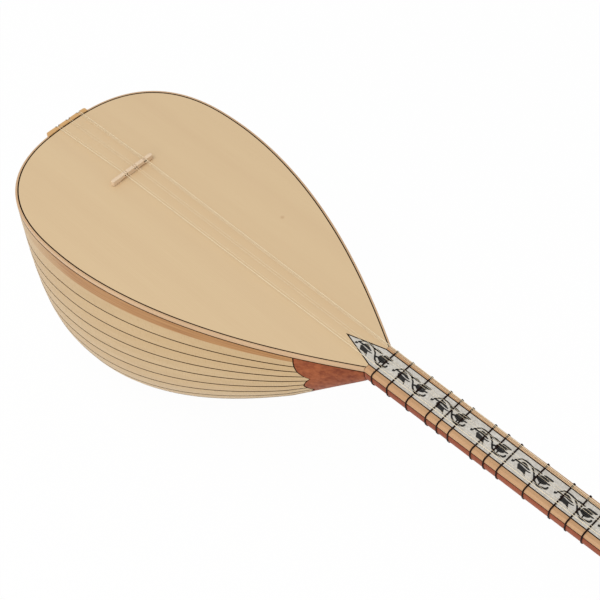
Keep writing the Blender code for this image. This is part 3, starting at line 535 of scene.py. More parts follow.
def plain(name, light, dark, size, rough, coat=0.0, metallic=0.0, relief=0.00001, specular=0.3):
    """Smooth stuff with a fine cloudy tone change."""
    made, tree, shader = new_material(name, rough, coat, metallic, specular)
    clouds = noise(tree, stretched(tree, size), detail=4.0)
    tree.links.new(mix(tree, spread(tree, clouds, 0.3, 0.7), light, dark), shader.inputs["Base Color"])
    tree.links.new(spread(tree, clouds, 0.3, 0.7, rough - 0.05, rough + 0.06), shader.inputs["Roughness"])
    add_bump(tree, shader, clouds, relief)
    return made


def make_materials():
    """Every finish by name."""
    return {
        "board": board_wood(),
        "rib": rib_wood(),
        "band": wood("band_wood", tone(212, 178, 140), tone(192, 154, 116), contrast=0.5, coat=0.05,
                     coordinates="grain")[0],
        "seam": plain("seam_veneer", tone(56, 32, 12), tone(42, 24, 9), (0.01, 0.001, 0.001), 0.8, specular=0.05),
        "line": plain("dark_line", tone(36, 20, 12), tone(26, 15, 9), (0.01, 0.001, 0.001), 0.8, specular=0.05),
        "board_line": plain("board_line", tone(44, 26, 9), tone(34, 20, 8), (0.01, 0.001, 0.001), 0.8,
                            specular=0.05),
        "heel": wood("heel_mahogany", tone(176, 98, 56), tone(122, 56, 30), fibre=(0.007, 0.0040, 0.0050),
                     contrast=0.8, figure=0.5, rough=0.5, coat=0.0, pores=0.15, specular=0.12)[0],
        "neck": wood("neck_mahogany", tone(166, 86, 50), tone(128, 58, 34), fibre=(0.04, 0.0012, 0.0012),
                     contrast=0.5, figure=0.5, rough=0.5, coat=0.0, pores=0.3, specular=0.12)[0],
        "strip": wood("strip_wood", tone(202, 162, 122), tone(182, 138, 98), fibre=(0.045, 0.0007, 0.0007),
                      contrast=0.5, figure=0.35, coat=0.03, specular=0.2)[0],
        "pearl": pearl_plate(),
        "vine": plain("vine_black", tone(34, 31, 29), tone(22, 20, 19), (0.001, 0.001, 0.001), 0.35, 0.3),
        "bone": plain("bone", tone(232, 226, 206), tone(216, 206, 180), (0.004, 0.001, 0.001), 0.35, 0.2),
        "bridge": wood("bridge_wood", tone(236, 212, 182), tone(216, 188, 156), fibre=(0.001, 0.012, 0.001),
                       contrast=0.5, rough=0.5, coat=0.0)[0],
        "holder": wood("holder_wood", tone(220, 178, 122), tone(198, 150, 94), fibre=(0.001, 0.02, 0.001),
                       contrast=0.5, rough=0.45, coat=0.05)[0],
        "block": wood("block_wood", tone(214, 190, 154), tone(190, 162, 124))[0],
        "peg": wood("peg_wood", tone(74, 48, 36), tone(40, 24, 18), fibre=(0.001, 0.001, 0.012), rough=0.3,
                    coat=0.4)[0],
        "fret": plain("fret_nylon", tone(40, 20, 14), tone(26, 13, 10), (0.0006, 0.0006, 0.0006), 0.6, specular=0.1),
        "string": plain("string_wire", tone(246, 230, 198), tone(234, 216, 182), (0.0003, 0.002, 0.002), 0.4,
                        metallic=0.1),
    }


# Body curves


def outline_half_width(x, inset=0.0):
    """Half width of the body in plan, set in by a wall."""
    widest = BODY_HALF_WIDTH - inset
    if x >= WIDEST_X:
        reach = min((x - WIDEST_X) / (TAIL_X - inset - WIDEST_X), 1.0)
        return widest * (1 - reach**TAIL_POWER) ** (1 / TAIL_POWER)
    reach = min((WIDEST_X - x) / (WIDEST_X - JOINT_X), 1.0)
    joint = JOINT_HALF_WIDTH - inset
    return joint + (widest - joint) * (1 - reach**FLANK_POWER) ** FLANK_ROUNDNESS


def tail_turns(first_half_width):
    """Angles of the stations from the tail end to the widest place."""
    first = math.asin((first_half_width / BODY_HALF_WIDTH) ** (TAIL_POWER / 2))
    return [first + (math.pi / 2 - first) * (step / TAIL_STEPS) ** 1.3 for step in range(TAIL_STEPS + 1)]


def tail_x(turn, inset=0.0):
    """Distance from the nut of a tail station."""
    return WIDEST_X + (TAIL_X - inset - WIDEST_X) * math.cos(turn) ** (2 / TAIL_POWER)


def tail_half_width(turn, inset=0.0):
    """Half width of a tail station."""
    return (BODY_HALF_WIDTH - inset) * math.sin(turn) ** (2 / TAIL_POWER)


def flank_places(start_x):
    """Stations from just before the widest place to one near the throat."""
    return [WIDEST_X + (start_x - WIDEST_X) * step / FLANK_STEPS for step in range(1, FLANK_STEPS + 1)]


def end_x(y, inset=0.0):
    """Distance from the nut of the tail's outline at a distance from the middle."""
    reach = abs(y) / (BODY_HALF_WIDTH - inset)
    return WIDEST_X + (TAIL_X - inset - WIDEST_X) * (1 - reach**TAIL_POWER) ** (1 / TAIL_POWER)


def section(shape, shares):
    """Unit points of a section at shares of its arc length, and that length."""
    factor, side_fullness, back_fullness = shape
    step = np.linspace(0, 1, SECTION_STEPS)
    rest = 1 - step
    side = rest**3 + 3 * rest**2 * step + 3 * rest * step**2 * back_fullness
    depth = -(3 * rest**2 * step * side_fullness + BOWL_DEPTH_RATIO * (3 * rest * step**2 + step**3))
    side = np.concatenate([side, -side[-2::-1]])
    depth = np.concatenate([depth, depth[-2::-1]])
    length = np.concatenate([[0], np.cumsum(np.hypot(np.diff(side), factor * np.diff(depth)))])
    wanted = np.asarray(shares) * length[-1]
    return np.interp(wanted, length, side), np.interp(wanted, length, depth), length[-1]


def bowl_shape(x):
    """Depth factor and fullnesses of the section, which swell from the neck's along the heel."""
    factor = 1 + DEPTH_GROWTH * (x - WIDEST_X) / (TAIL_X - JOINT_X)
    start = JOINT_X + GAP
    reach = (x - start) / (THROAT_BLOCK_END_X - start)
    swell = min(max(reach, 0.0), 1.0) ** HEEL_SWELL_POWER
    bowl = (factor, SIDE_FULLNESS, BACK_FULLNESS)
    return [small + (large - small) * swell for small, large in zip(NECK_SHAPE, bowl)]


def bowl_row(x, half_width, shares, lift=0.0, place_x=None):
    """Points across the bowl at one station, lifted off its outer surface."""
    shape = bowl_shape(x)
    side, depth, _ = section(shape, shares)
    wide = half_width + lift
    deep = half_width * shape[0] + np.asarray(lift) / BOWL_DEPTH_RATIO
    place = np.full(len(side), x if place_x is None else place_x)
    return np.column_stack([place, wide * side, BOWL_TOP + deep * depth])


def bowl_stations():
    """Each station of the bowl from the tail to the end of the throat block: its kind and place."""
    tail = [("tail", turn) for turn in tail_turns(RIB_END_HALF_WIDTH)]
    return [*tail, *[("flank", x) for x in flank_places(THROAT_BLOCK_END_X)]]


def station_row(station, shares, lift=0.0):
    """Points across the bowl at a station."""
    kind, place = station
    if kind == "tail":
        shift = -float(np.mean(lift))
        return bowl_row(tail_x(place), tail_half_width(place), shares, lift, tail_x(place, shift))
    return bowl_row(place, outline_half_width(place), shares, lift)


def station_length(station):
    """Arc length of the bowl's section at a station."""
    kind, place = station
    x = tail_x(place) if kind == "tail" else place
    half_width = tail_half_width(place) if kind == "tail" else outline_half_width(place)
    return section(bowl_shape(x), [0.0])[2] * half_width


def heel_edge_x(share):
    """Distance from the nut of the heel's scalloped edge at a share of the section."""
    rib = (min(share, 1 - share) - SIDE_RIB_SHARE) / RIB_SHARE
    first = HEEL_CUSPS[0]
    if rib <= first:
        done = 1 - (first - rib) / (first + SIDE_RIB_SHARE / RIB_SHARE)
        return HEEL_CUSP_X + (HEEL_SIDE_X - HEEL_CUSP_X) * (1 - done**HEEL_SIDE_POWER)
    for low, high in zip(HEEL_CUSPS[:-1], HEEL_CUSPS[1:]):
        if rib <= high:
            across = abs(2 * (rib - low) / (high - low) - 1)
            return HEEL_CUSP_X + HEEL_LOBE * (1 - across**HEEL_LOBE_POWER)
    return HEEL_CUSP_X


def throat_row(shares, reach, lift=0.0, shift=0.0):
    """Points between the throat block's end, at reach 0, and the heel's edge, at reach 1."""
    rows = []
    lifts = np.broadcast_to(lift, (len(shares),))
    for share, own in zip(shares, lifts):
        edge = heel_edge_x(share) + shift
        x = THROAT_BLOCK_END_X + (edge - THROAT_BLOCK_END_X) * reach
        rows.append(bowl_row(x, outline_half_width(x), [share], own)[0])
    return np.array(rows)


def rib_bounds():
    """Shares at which the section is split into ribs, from the near rim to the far rim."""
    inner = [SIDE_RIB_SHARE + RIB_SHARE * count for count in range(BOWL_RIBS + 1)]
    return [0.0, *inner, 1.0]


# Bowl


def rib_rings(low, high, columns):
    """Rings of one crowned rib, with its point values: place along and across, and station share."""
    across = np.linspace(0, 1, columns + 1)
    crown = RIB_CROWN * (1 - (2 * across - 1) ** 2) - 0.5 * RIB_CROWN
    rings = []
    grain = []
    run = 0.0
    last = None
    stations = bowl_stations()
    for station in stations:
        length = station_length(station)
        trim = min(SEAM_WIDTH / 2 / length, 0.2 * (high - low))
        shares = low + trim + (high - low - 2 * trim) * across
        outer = station_row(station, shares, crown)
        inner = station_row(station, shares, -RIB_THICKNESS)
        rings.append(np.concatenate([outer, inner[::-1]]))
        run += 0.0 if last is None else float(np.linalg.norm(outer[columns // 2] - last))
        last = outer[columns // 2]
        width = (high - low) * length
        side = np.concatenate([across, across[::-1]]) * width
        grain.append([(run, value, 0.0) for value in side])
    trim = min(SEAM_WIDTH / 2 / station_length(stations[-1]), 0.2 * (high - low))
    shares = low + trim + (high - low - 2 * trim) * across
    width = (high - low) * station_length(stations[-1])
    for step in range(1, HEEL_STEPS + 1):
        reach = step / HEEL_STEPS
        outer = throat_row(shares, reach, crown, HEEL_LINE_WIDTH / 2)
        inner = throat_row(shares, reach, -RIB_THICKNESS, HEEL_LINE_WIDTH / 2)
        rings.append(np.concatenate([outer, inner[::-1]]))
        run += float(np.linalg.norm(outer[columns // 2] - last))
        last = outer[columns // 2]
        side = np.concatenate([across, across[::-1]]) * width
        grain.append([(run, value, 0.0) for value in side])
    return rings, grain


def painted_side_shade(rings, columns, rim_last):
    """Share of painted brown shade at each point of a side rib: its upper half, most at mid-length."""
    values = []
    for ring in rings:
        x = ring[0][0]
        along = (x - JOINT_X) / (TAIL_X - JOINT_X)
        strength = min(1.0, max(0.0, along / 0.14)) * min(1.0, max(0.0, (1.0 - along) / 0.50))
        for index in range(2 * (columns + 1)):
            across = min(index, 2 * columns + 1 - index) / columns
            from_rim = 1 - across if rim_last else across
            values.append(strength * min(1.0, max(0.0, (0.47 - from_rim) / 0.05 + 0.5)))
    return values


def build_ribs(stuff):
    """Every rib of the bowl; the seams between them are dark veneer."""
    bounds = rib_bounds()
    tones = np.random.default_rng(7).random(len(bounds) - 1)
    groups = [("side_rib_near", [0])]
    groups += [(f"bowl_ribs_{group + 1}", list(range(1 + group * RIBS_PER_NODE, 1 + (group + 1) * RIBS_PER_NODE)))
               for group in range(BOWL_RIBS // RIBS_PER_NODE)]
    groups.append(("side_rib_far", [len(bounds) - 2]))
    for node, members in groups:
        parts = []
        grain = []
        own = []
        heart = []
        side_rib = len(members) == 1
        for member in members:
            low, high = bounds[member], bounds[member + 1]
            columns = 16 if side_rib else RIB_COLUMNS
            rings, places = rib_rings(low, high, columns)
            parts.append(rings)
            count = sum(len(ring) for ring in rings)
            grain += [(a, b + 0.05 * member, c) for row in places for a, b, c in row]
            own += [tones[member]] * count
            # Share of painted shade for the side ribs, none for the other ribs.
            heart += painted_side_shade(rings, columns, member > 0) if side_rib else [0.0] * count
        piece = strip_skin(node + "_wood", parts, stuff["rib"], 40, (
            ("grain", "FLOAT_VECTOR", grain), ("own_tone", "FLOAT", own), ("heart", "FLOAT", heart)))
        ride(piece, "root", "rib", node)


def build_seams(stuff):
    """Dark veneer lines between neighbouring ribs."""
    stations = bowl_stations()
    parts = []
    for share in rib_bounds()[1:-1]:
        rings = []
        for station in stations:
            half = min(SEAM_WIDTH / 2 / station_length(station), 0.24 * RIB_SHARE)
            ends = (share - half, share + half)
            rings.append(seam_ring(lambda shares, lift: station_row(station, shares, lift), ends))
        half = SEAM_WIDTH / 2 / station_length(stations[-1])
        ends = (share - half, share + half)
        for step in range(1, HEEL_STEPS + 1):
            reach = step / HEEL_STEPS
            rings.append(seam_ring(lambda shares, lift: throat_row(shares, reach, lift, HEEL_LINE_WIDTH / 2), ends))
        parts.append(rings)
    ride(skin("rib_seams", parts, stuff["seam"], 50), "root", "rib")


def seam_ring(row, ends):
    """Four corners of a seam's veneer."""
    low, high = ends
    return np.concatenate([row([low, high], 0.00001), row([high, low], -SEAM_DEPTH)])


def fine_shares():
    """Shares of the whole section, dense enough for the heel's scalloped edge."""
    bounds = rib_bounds()
    shares = [0.0]
    for rib, (low, high) in enumerate(zip(bounds[:-1], bounds[1:])):
        columns = 12 if rib in (0, len(bounds) - 2) else 8
        shares += [low + (high - low) * (column + 1) / columns for column in range(columns)]
    return shares


def build_heel(stuff):
    """Mahogany heel with its scalloped edge, and the dark line that edges it."""
    shares = fine_shares()
    start_x = JOINT_X + GAP
    seat = RIB_THICKNESS + GAP
    rings = []
    for step in range(HEEL_RINGS + 1):
        row = []
        for share in shares:
            end = heel_edge_x(share) - HEEL_LINE_WIDTH / 2
            x = start_x + (end - start_x) * (step / HEEL_RINGS) ** 2.5
            row.append(bowl_row(x, outline_half_width(x), [share], 0.0)[0])
        rings.append(np.array(row))
    rings.append(throat_row(shares, 1.0, -seat, -HEEL_LINE_WIDTH / 2))
    rings.append(bowl_row(THROAT_BLOCK_END_X, outline_half_width(THROAT_BLOCK_END_X), shares, -seat))
    piece = skin("throat_block_wood", [rings], stuff["heel"], 40)
    ride(piece, "root", "heel", "throat_block")
    line = []
    for share in shares:
        edge = heel_edge_x(share)
        ring = []
        for shift, lift in ((-1, 0.00005), (1, 0.00005), (1, -SEAM_DEPTH), (-1, -SEAM_DEPTH)):
            x = edge + shift * HEEL_LINE_WIDTH / 2
            ring.append(bowl_row(x, outline_half_width(x), [share], lift)[0])
        line.append(np.array(ring))
    ride(skin("heel_edge_line", [line], stuff["line"], 60), "root", "heel")
    joint = []
    for share in shares:
        ring = []
        low, high = JOINT_X - 0.0005, JOINT_X + GAP
        for x, lift in ((low, 0.0001), (high, 0.0001), (high, -0.002), (low, -0.002)):
            ring.append(bowl_row(JOINT_X, JOINT_HALF_WIDTH, [share], lift, x)[0])
        joint.append(np.array(ring))
    ride(skin("neck_joint_line", [joint], stuff["line"], 60), "root", "heel")


# Rim and soundboard


def rim_path(inset, last_turn=0.0):
    """Plan points of the body's outline on the near side, from the joint to the tail end."""
    flank = [JOINT_X + GAP + (WIDEST_X - JOINT_X - GAP) * (step / FLANK_STEPS) ** 1.4 for step in range(FLANK_STEPS)]
    points = [(x, outline_half_width(x, inset)) for x in flank]
    for step in range(TAIL_STEPS + 1):
        turn = math.pi / 2 * (1 - step / TAIL_STEPS) + last_turn * step / TAIL_STEPS
        points.append((tail_x(turn, inset), tail_half_width(turn, inset)))
    return points


def rim_part(profile, side):
    """Rings of a moulding that follows the outline; profile holds insets and heights."""
    paths = {inset: rim_path(inset) for inset, _ in profile}
    count = len(paths[profile[0][0]])
    run = np.concatenate([[0], np.cumsum([math.dist(a, b) for a, b in zip(
        paths[profile[0][0]][:-1], paths[profile[0][0]][1:])])])
    rings = []
    grain = []
    for station in range(count):
        ring = []
        for inset, z in profile:
            x, y = paths[inset][station]
            ring.append((x, side * max(y, GAP / 2), z))
            grain.append((run[station], z + inset, 0.0))
        rings.append(ring)
    return rings, grain


def build_rim(stuff):
    """Edge bands with a rounded upper edge, and the dark line inside them."""
    corner = BAND_ROUNDING
    arc = [(corner * (1 - math.sin(turn)), -corner * (1 - math.cos(turn)))
           for turn in (math.radians(angle) for angle in (0, 18, 36, 54, 72, 90))]
    profile = [(BAND_WIDTH, 0.0), *arc, (0.0, -BAND_HEIGHT), (BAND_WIDTH + 0.004, -BAND_HEIGHT),
               (BAND_WIDTH + 0.004, -BOARD_THICKNESS - GAP), (BAND_WIDTH, -BOARD_THICKNESS - GAP)]
    for side, name in ((1, "rim_band_near"), (-1, "rim_band_far")):
        rings, grain = rim_part(profile, side)
        piece = skin(name + "_wood", [rings], stuff["band"], 40, (("grain", "FLOAT_VECTOR", grain),))
        ride(piece, "root", "band", name)
    low, high = -BOARD_THICKNESS, 0.00003
    inner = BAND_WIDTH + EDGE_LINE_WIDTH
    profile = [(BAND_WIDTH + 0.00005, high), (inner, high), (inner, low), (BAND_WIDTH + 0.00005, low)]
    parts = [rim_part(profile, side)[0] for side in (1, -1)]
    ride(skin("soundboard_edge_line", parts, stuff["board_line"], 60), "root", "spruce")
    low, high = BOWL_TOP - SEAM_WIDTH / 2 - 0.0001, -BAND_HEIGHT + 0.0002
    profile = [(-0.00008, high), (-0.00008, low), (0.0015, low), (0.0015, high)]
    parts = [rim_part(profile, side)[0] for side in (1, -1)]
    ride(skin("band_under_line", parts, stuff["seam"], 60), "root", "band")


def build_soundboard(stuff):
    """Thin spruce plate inside its dark line, with a pocket for the point of the inlaid plate."""
    inset = BAND_WIDTH + EDGE_LINE_WIDTH + 0.00005
    columns = 24
    parts = []
    for x, half in rim_path(inset, last_turn=0.03):
        across = [half * (1 - 2 * column / columns) for column in range(columns + 1)]
        top = [(x, y, 0.0) for y in across]
        bottom = [(x, y, -BOARD_THICKNESS) for y in reversed(across)]
        parts.append([*top, *bottom])
    board = strip_skin("soundboard_wood", [parts], stuff["board"], 30)
    cut(board, [plan_rings(inlay_outline(0.0001, JOINT_X - 0.01), (-INLAY_THICKNESS - GAP, 0.004))])
    finish_mesh(board.data, 30)
    ride(board, "root", "spruce", "soundboard")


# Neck, fingerboard and vine


def along_neck(x, at_nut, at_joint):
    """A size that changes straight from the nut to the joint."""
    return at_nut + (at_joint - at_nut) * x / JOINT_X


def neck_half_width(x):
    """Half width of the neck."""
    return along_neck(x, NUT_HALF_WIDTH, JOINT_HALF_WIDTH)


def inlay_half_width(x):
    """Half width of the inlaid plate."""
    return along_neck(x, INLAY_HALF_WIDTH_AT_NUT, INLAY_HALF_WIDTH_AT_JOINT)


def neck_places():
    """Stations along the neck."""
    return [NECK_START_X + (JOINT_X - NECK_START_X) * step / NECK_STEPS for step in range(NECK_STEPS + 1)]


def strip_depth(x):
    """Depth of the strips, which at the joint is the edge band's."""
    return along_neck(x, STRIP_DEPTH_AT_NUT, BAND_HEIGHT)


def neck_back(x, count=40):
    """Points of the rounded back, from the near edge under the strip to the far edge."""
    half = neck_half_width(x)
    top = -(strip_depth(x) + GAP)
    side, down, _ = section(NECK_SHAPE, [step / count for step in range(count + 1)])
    deep = (along_neck(x, NECK_DEPTH_AT_NUT, NECK_DEPTH_AT_JOINT) + top) / BOWL_DEPTH_RATIO
    return [(half * y, top + deep * z) for y, z in zip(side, down)]


def strip_edge(x, steps=8):
    """Rounded outer edge of a strip, from its top inwards point to its side."""
    half = neck_half_width(x)
    radius = along_neck(x, STRIP_ROUNDING_AT_NUT, STRIP_ROUNDING_AT_JOINT)
    turns = [math.pi / 2 * step / steps for step in range(steps + 1)]
    return [(half - radius + radius * math.sin(turn), -radius + radius * math.cos(turn)) for turn in turns]


def inlay_outline(clearance, start_x):
    """Plan of the inlaid plate with its point in the soundboard, widened by a clearance."""
    slope = INLAY_HALF_WIDTH_AT_JOINT / (INLAY_TIP_X - JOINT_X)
    tip = INLAY_TIP_X + clearance * math.hypot(1, slope) / slope
    shoulder = tip - (INLAY_HALF_WIDTH_AT_JOINT + clearance) / slope
    ends = [(shoulder, inlay_half_width(shoulder) + clearance), (start_x, inlay_half_width(start_x) + clearance)]
    return [*((x, -y) for x, y in reversed(ends)), (tip, 0.0), *ends]


def build_neck(stuff):
    """Neck, the strips beside the plate, the plate and the dark lines that edge it."""
    rings = []
    for x in neck_places():
        tongue = inlay_half_width(x)
        base = -(strip_depth(x) + GAP)
        top = -(INLAY_THICKNESS + GAP)
        outline = [*neck_back(x), (-tongue, base), (-tongue, top), (tongue, top), (tongue, base)]
        rings.append([(x, y, z) for y, z in outline])
    ride(skin("neck_wood", [rings], stuff["neck"], 50), "root", "neck", "neck")
    under = []
    for side, name in ((1, "fingerboard_strip_near"), (-1, "fingerboard_strip_far")):
        rings = []
        line = []
        for x in neck_places():
            inner = inlay_half_width(x) + 0.00005
            half = neck_half_width(x)
            bottom = -strip_depth(x)
            outline = [(inner, 0.0), *strip_edge(x), (half, bottom), (inner, bottom)]
            rings.append([(x, side * y, z) for y, z in outline])
            low, high = bottom - GAP, bottom + 0.0007
            line.append([(x, side * y, z) for y, z in (
                (half + 0.00006, high), (half + 0.00006, low), (half - 0.002, low), (half - 0.002, high))])
        under.append(line)
        ride(skin(name + "_wood", [rings], stuff["strip"], 40), "root", "strip", name)
    ride(skin("strip_under_line", under, stuff["line"], 60), "root", "neck")
    low = -INLAY_THICKNESS
    plate = skin("inlay_plate_pearl", [plan_rings(inlay_outline(-PURFLING_WIDTH, NECK_START_X), (low, 0.0))],
                 stuff["pearl"], 30)
    ride(plate, "root", "pearl", "inlay_plate")
    outer = inlay_outline(-0.00002, NECK_START_X)
    inner = inlay_outline(-PURFLING_WIDTH, NECK_START_X)
    rings = [[(*outer[index], 0.00004), (*inner[index], 0.00004), (*inner[index], low), (*outer[index], low)]
             for index in range(len(outer))]
    ride(skin("inlay_edge_line", [rings], stuff["line"], 60), "root", "pearl")


# Vine: lengths in millimetres, u towards the nut from the hook's start, v towards the near side
VINE_STEP = 0.0436
VINE_START_X = 0.5833
VINE_REPEATS = 13
PETAL_SPREAD = 0.22
# Strokes: points of the middle line, and widths along it
VINE_STROKES = (
    (((1.4, -0.3), (2.0, -1.6), (3.6, -3.3), (5.3, -5.1), (7.3, -5.5), (9.0, -5.9), (11.9, -5.8), (15.0, -5.3),
      (17.3, -4.7)), (1.1, 1.3, 1.5, 1.7)),
    (((1.5, -1.1), (3.8, -1.3), (6.6, -1.3)), (1.4, 1.6)),
    (((16.8, -4.0), (18.7, -2.8), (20.4, -1.4), (21.9, 0.7), (23.5, 2.7), (25.7, 4.5), (28.0, 5.6), (30.0, 5.9),
      (32.7, 5.3), (35.4, 4.3), (36.6, 3.2), (36.9, 1.9)), (1.4, 1.5, 1.7, 1.8, 2.0, 1.8)),
    (((29.6, 2.3), (29.6, 4.3), (30.0, 5.6)), (1.3, 1.3)),
)
# Bud, leaf and petals: each run of points between two sharp corners is a smooth curve
VINE_SHAPES = (
    (((-0.3, 2.3), (-0.5, 0.4), (0.5, 0.4), (1.6, -0.1)), ((1.6, -0.1), (1.7, 0.8), (0.9, 1.9), (-0.3, 2.3))),
    (((16.6, -4.8), (18.2, -5.5), (19.8, -5.9), (21.8, -6.1), (23.9, -5.8), (26.1, -5.3)),
     ((26.1, -5.3), (24.9, -4.8), (23.1, -4.6), (20.9, -4.6), (19.0, -4.5), (17.6, -4.3), (16.6, -4.8))),
    (((6.4, -1.2), (7.2, -2.9), (8.2, -3.8), (9.8, -4.1), (11.5, -3.7), (12.8, -2.8), (14.7, -1.7), (16.5, -1.1)),
     ((16.5, -1.1), (15.8, -0.6), (13.2, -0.6), (10.5, -1.0), (7.9, -1.1), (6.4, -1.2))),
    (((5.4, 0.9), (6.0, -0.1), (7.8, 0.0), (10.9, 0.4), (14.0, 0.7), (16.4, 0.7), (18.8, 0.4)),
     ((18.8, 0.4), (17.8, 1.0), (16.0, 1.4), (14.2, 1.5)), ((14.2, 1.5), (14.5, 2.7), (15.4, 4.3), (16.4, 6.2)),
     ((16.4, 6.2), (14.9, 5.3), (13.1, 4.5), (11.1, 4.3), (9.2, 4.2), (7.9, 4.4), (6.6, 2.6), (5.4, 0.9))),
    (((28.2, -4.5), (28.3, -5.5), (29.8, -6.2), (32.2, -6.2), (34.8, -6.3), (37.4, -6.0)),
     ((37.4, -6.0), (36.6, -5.0), (35.3, -4.4), (33.5, -4.0), (32.0, -4.0), (29.9, -4.1), (28.2, -4.5))),
    (((25.0, -0.6), (25.3, -2.3), (26.2, -3.6), (27.7, -4.1), (29.7, -3.9), (31.8, -3.5), (34.6, -3.3)),
     ((34.6, -3.3), (33.2, -1.9), (31.2, -1.0), (29.0, -0.8), (26.7, -0.7), (25.0, -0.6))),
    (((22.1, 0.5), (24.2, -0.4), (26.5, -0.5), (29.3, -0.4), (31.9, -0.6), (33.0, -1.2), (34.8, -1.4), (37.1, -1.4)),
     ((37.1, -1.4), (36.5, -0.6), (34.6, -0.3), (32.5, 0.1), (30.0, 0.4), (27.2, 0.3), (25.0, 0.5), (23.5, 1.4),
      (22.1, 0.5))),
    (((25.1, 0.7), (26.2, 0.3), (28.4, 0.3), (30.4, 0.4), (32.5, 0.3), (34.3, 0.2)),
     ((34.3, 0.2), (33.2, 1.4), (31.6, 2.2), (30.0, 2.6), (28.5, 2.4), (26.7, 1.6), (25.1, 0.7))),
)


def petal_outline(runs):
    """Closed outline from smooth runs that meet at sharp corners, spread outwards."""
    made = []
    for run in runs:
        made += smooth_path(run, 4)[:-1]
    made = np.array(made)
    ahead = np.roll(made, -1, 0)
    span = ahead - np.roll(made, 1, 0)
    turning = np.sign(np.sum(made[:, 0] * ahead[:, 1] - made[:, 1] * ahead[:, 0]))
    out = np.column_stack([span[:, 1], -span[:, 0]]) * turning
    return made + PETAL_SPREAD * out / np.linalg.norm(out, axis=1)[:, None]


def stem_outline(points, widths):
    """Closed outline of a stroke with round ends, its width read along it."""
    middle = np.array(smooth_path(points, 4))
    ahead = np.gradient(middle, axis=0)
    ahead /= np.linalg.norm(ahead, axis=1)[:, None]
    aside = np.column_stack([-ahead[:, 1], ahead[:, 0]])
    half = np.interp(np.linspace(0, 1, len(middle)), np.linspace(0, 1, len(widths)), widths)[:, None] / 2
    caps = []
    for end, sign in ((-1, 1), (0, -1)):
        caps.append([middle[end] + sign * half[end] * (aside[end] * math.cos(turn) + ahead[end] * math.sin(turn))
                     for turn in (math.radians(angle) for angle in (45, 90, 135))])
    return [*(middle + aside * half), *caps[0], *(middle - aside * half)[::-1], *caps[1]]


def build_vine(stuff):
    """Tulip vine inlaid in the plate, repeated towards the nut."""
    shapes = [stem_outline(points, widths) for points, widths in VINE_STROKES]
    shapes += [petal_outline(runs) for runs in VINE_SHAPES]
    parts = []
    for repeat in range(VINE_REPEATS):
        start = VINE_START_X - VINE_STEP * repeat
        for shape in shapes:
            plan = [(start - u / 1000, v / 1000) for u, v in shape]
            parts.append(plan_rings(plan, (-VINE_RELIEF, VINE_RELIEF)))
    ride(skin("vine_inlay", parts, stuff["vine"], 30), "root", "pearl")


# Frets


def neck_ring(x, away, count=72):
    """Closed outline round the neck and its strips at a distance, evenly spaced from the far upper edge."""
    near = strip_edge(x)
    far = [(-y, z) for y, z in reversed(near)]
    back = neck_back(x)
    loop = np.array([*far, *near, *back[1:-1]])
    span = np.roll(loop, -1, 0) - np.roll(loop, 1, 0)
    out = np.column_stack([-span[:, 1], span[:, 0]]) / np.linalg.norm(span, axis=1)[:, None]
    loop = loop + out * away
    closed = np.vstack([loop, loop[:1]])
    run = np.concatenate([[0], np.cumsum(np.linalg.norm(np.diff(closed, axis=0), axis=1))])
    wanted = np.linspace(0, run[-1], count, endpoint=False)
    return np.column_stack([np.interp(wanted, run, closed[:, 0]), np.interp(wanted, run, closed[:, 1])])


def build_frets(stuff):
    """Nylon strands in two close turns round the neck, each with its small knot."""
    for number in range(1, FRET_COUNT + 1):
        node = f"fret_{number:02d}"
        low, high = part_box(node)
        stop = (low.x + high.x) / 2
        ring = neck_ring(stop, FRET_STRAND / 2 + 0.00015)
        count = len(ring)
        points = []
        for step in range(2 * count + 1):
            y, z = ring[step % count]
            points.append((stop + FRET_LAY * (step / count - 1), y, z))
        ride(tube(node + "_strand", points, FRET_STRAND / 2, stuff["fret"]), node, "fret", node)
        knot = bmesh.new()
        bmesh.ops.create_icosphere(knot, subdivisions=3, radius=KNOT_RADIUS)
        for point in knot.verts:
            swirl = 1 + 0.10 * math.sin(3 * math.atan2(point.co.y, point.co.x) + 900 * point.co.z)
            point.co = Vector((point.co.x * 1.25, point.co.y, point.co.z)) * swirl
        mesh = bpy.data.meshes.new(node + "_knot")
        knot.to_mesh(mesh)
        knot.free()
        mesh.shade_smooth()
        piece = link(node + "_knot", mesh, stuff["fret"])
        y, z = strip_edge(stop)[4]
        piece.location = (stop, -y, z + KNOT_RADIUS)
        ride(piece, node, "fret")


# Headstock and pegs


def head_frame(along):
    """Point of the head's face at a distance from its root, its direction and its normal."""
    down = Vector((-math.cos(HEAD_TILT), 0.0, -math.sin(HEAD_TILT)))
    normal = Vector((-math.sin(HEAD_TILT), 0.0, math.cos(HEAD_TILT)))
    return Vector((HEAD_START_X, 0.0, -HEAD_DROP)) + down * along, down, normal


def head_half_width(along):
    """Half width of the head at a distance from its root."""
    return NUT_HALF_WIDTH + (HEAD_END_HALF_WIDTH - NUT_HALF_WIDTH) * along / HEAD_LENGTH


def peg_radius(height):
    """Radius of a peg's shaft at a height above the head's surface."""
    return PEG_RADIUS + PEG_TAPER * height


def peg_places():
    """Where each peg leaves the head, its outward axis and the side on which its string arrives."""
    places = []
    for number in range(FRONT_PEGS):
        top, _, normal = head_frame(FIRST_PEG + PEG_STEP * number)
        row = 1 if number % 2 == 0 else -1
        arrival = -1 if number == 1 else 1
        places.append((top + Vector((0, row * FRONT_PEG_OFFSET, 0)), normal, Vector((0, arrival, 0))))
    for number in range(SIDE_PEGS):
        along = FIRST_PEG + PEG_STEP * (number + 0.5)
        top, _, normal = head_frame(along)
        flank = Vector((0, -head_half_width(along), 0))
        places.append((top - normal * SIDE_PEG_DEPTH + flank, Vector((0, -1, 0)), normal))
    return places


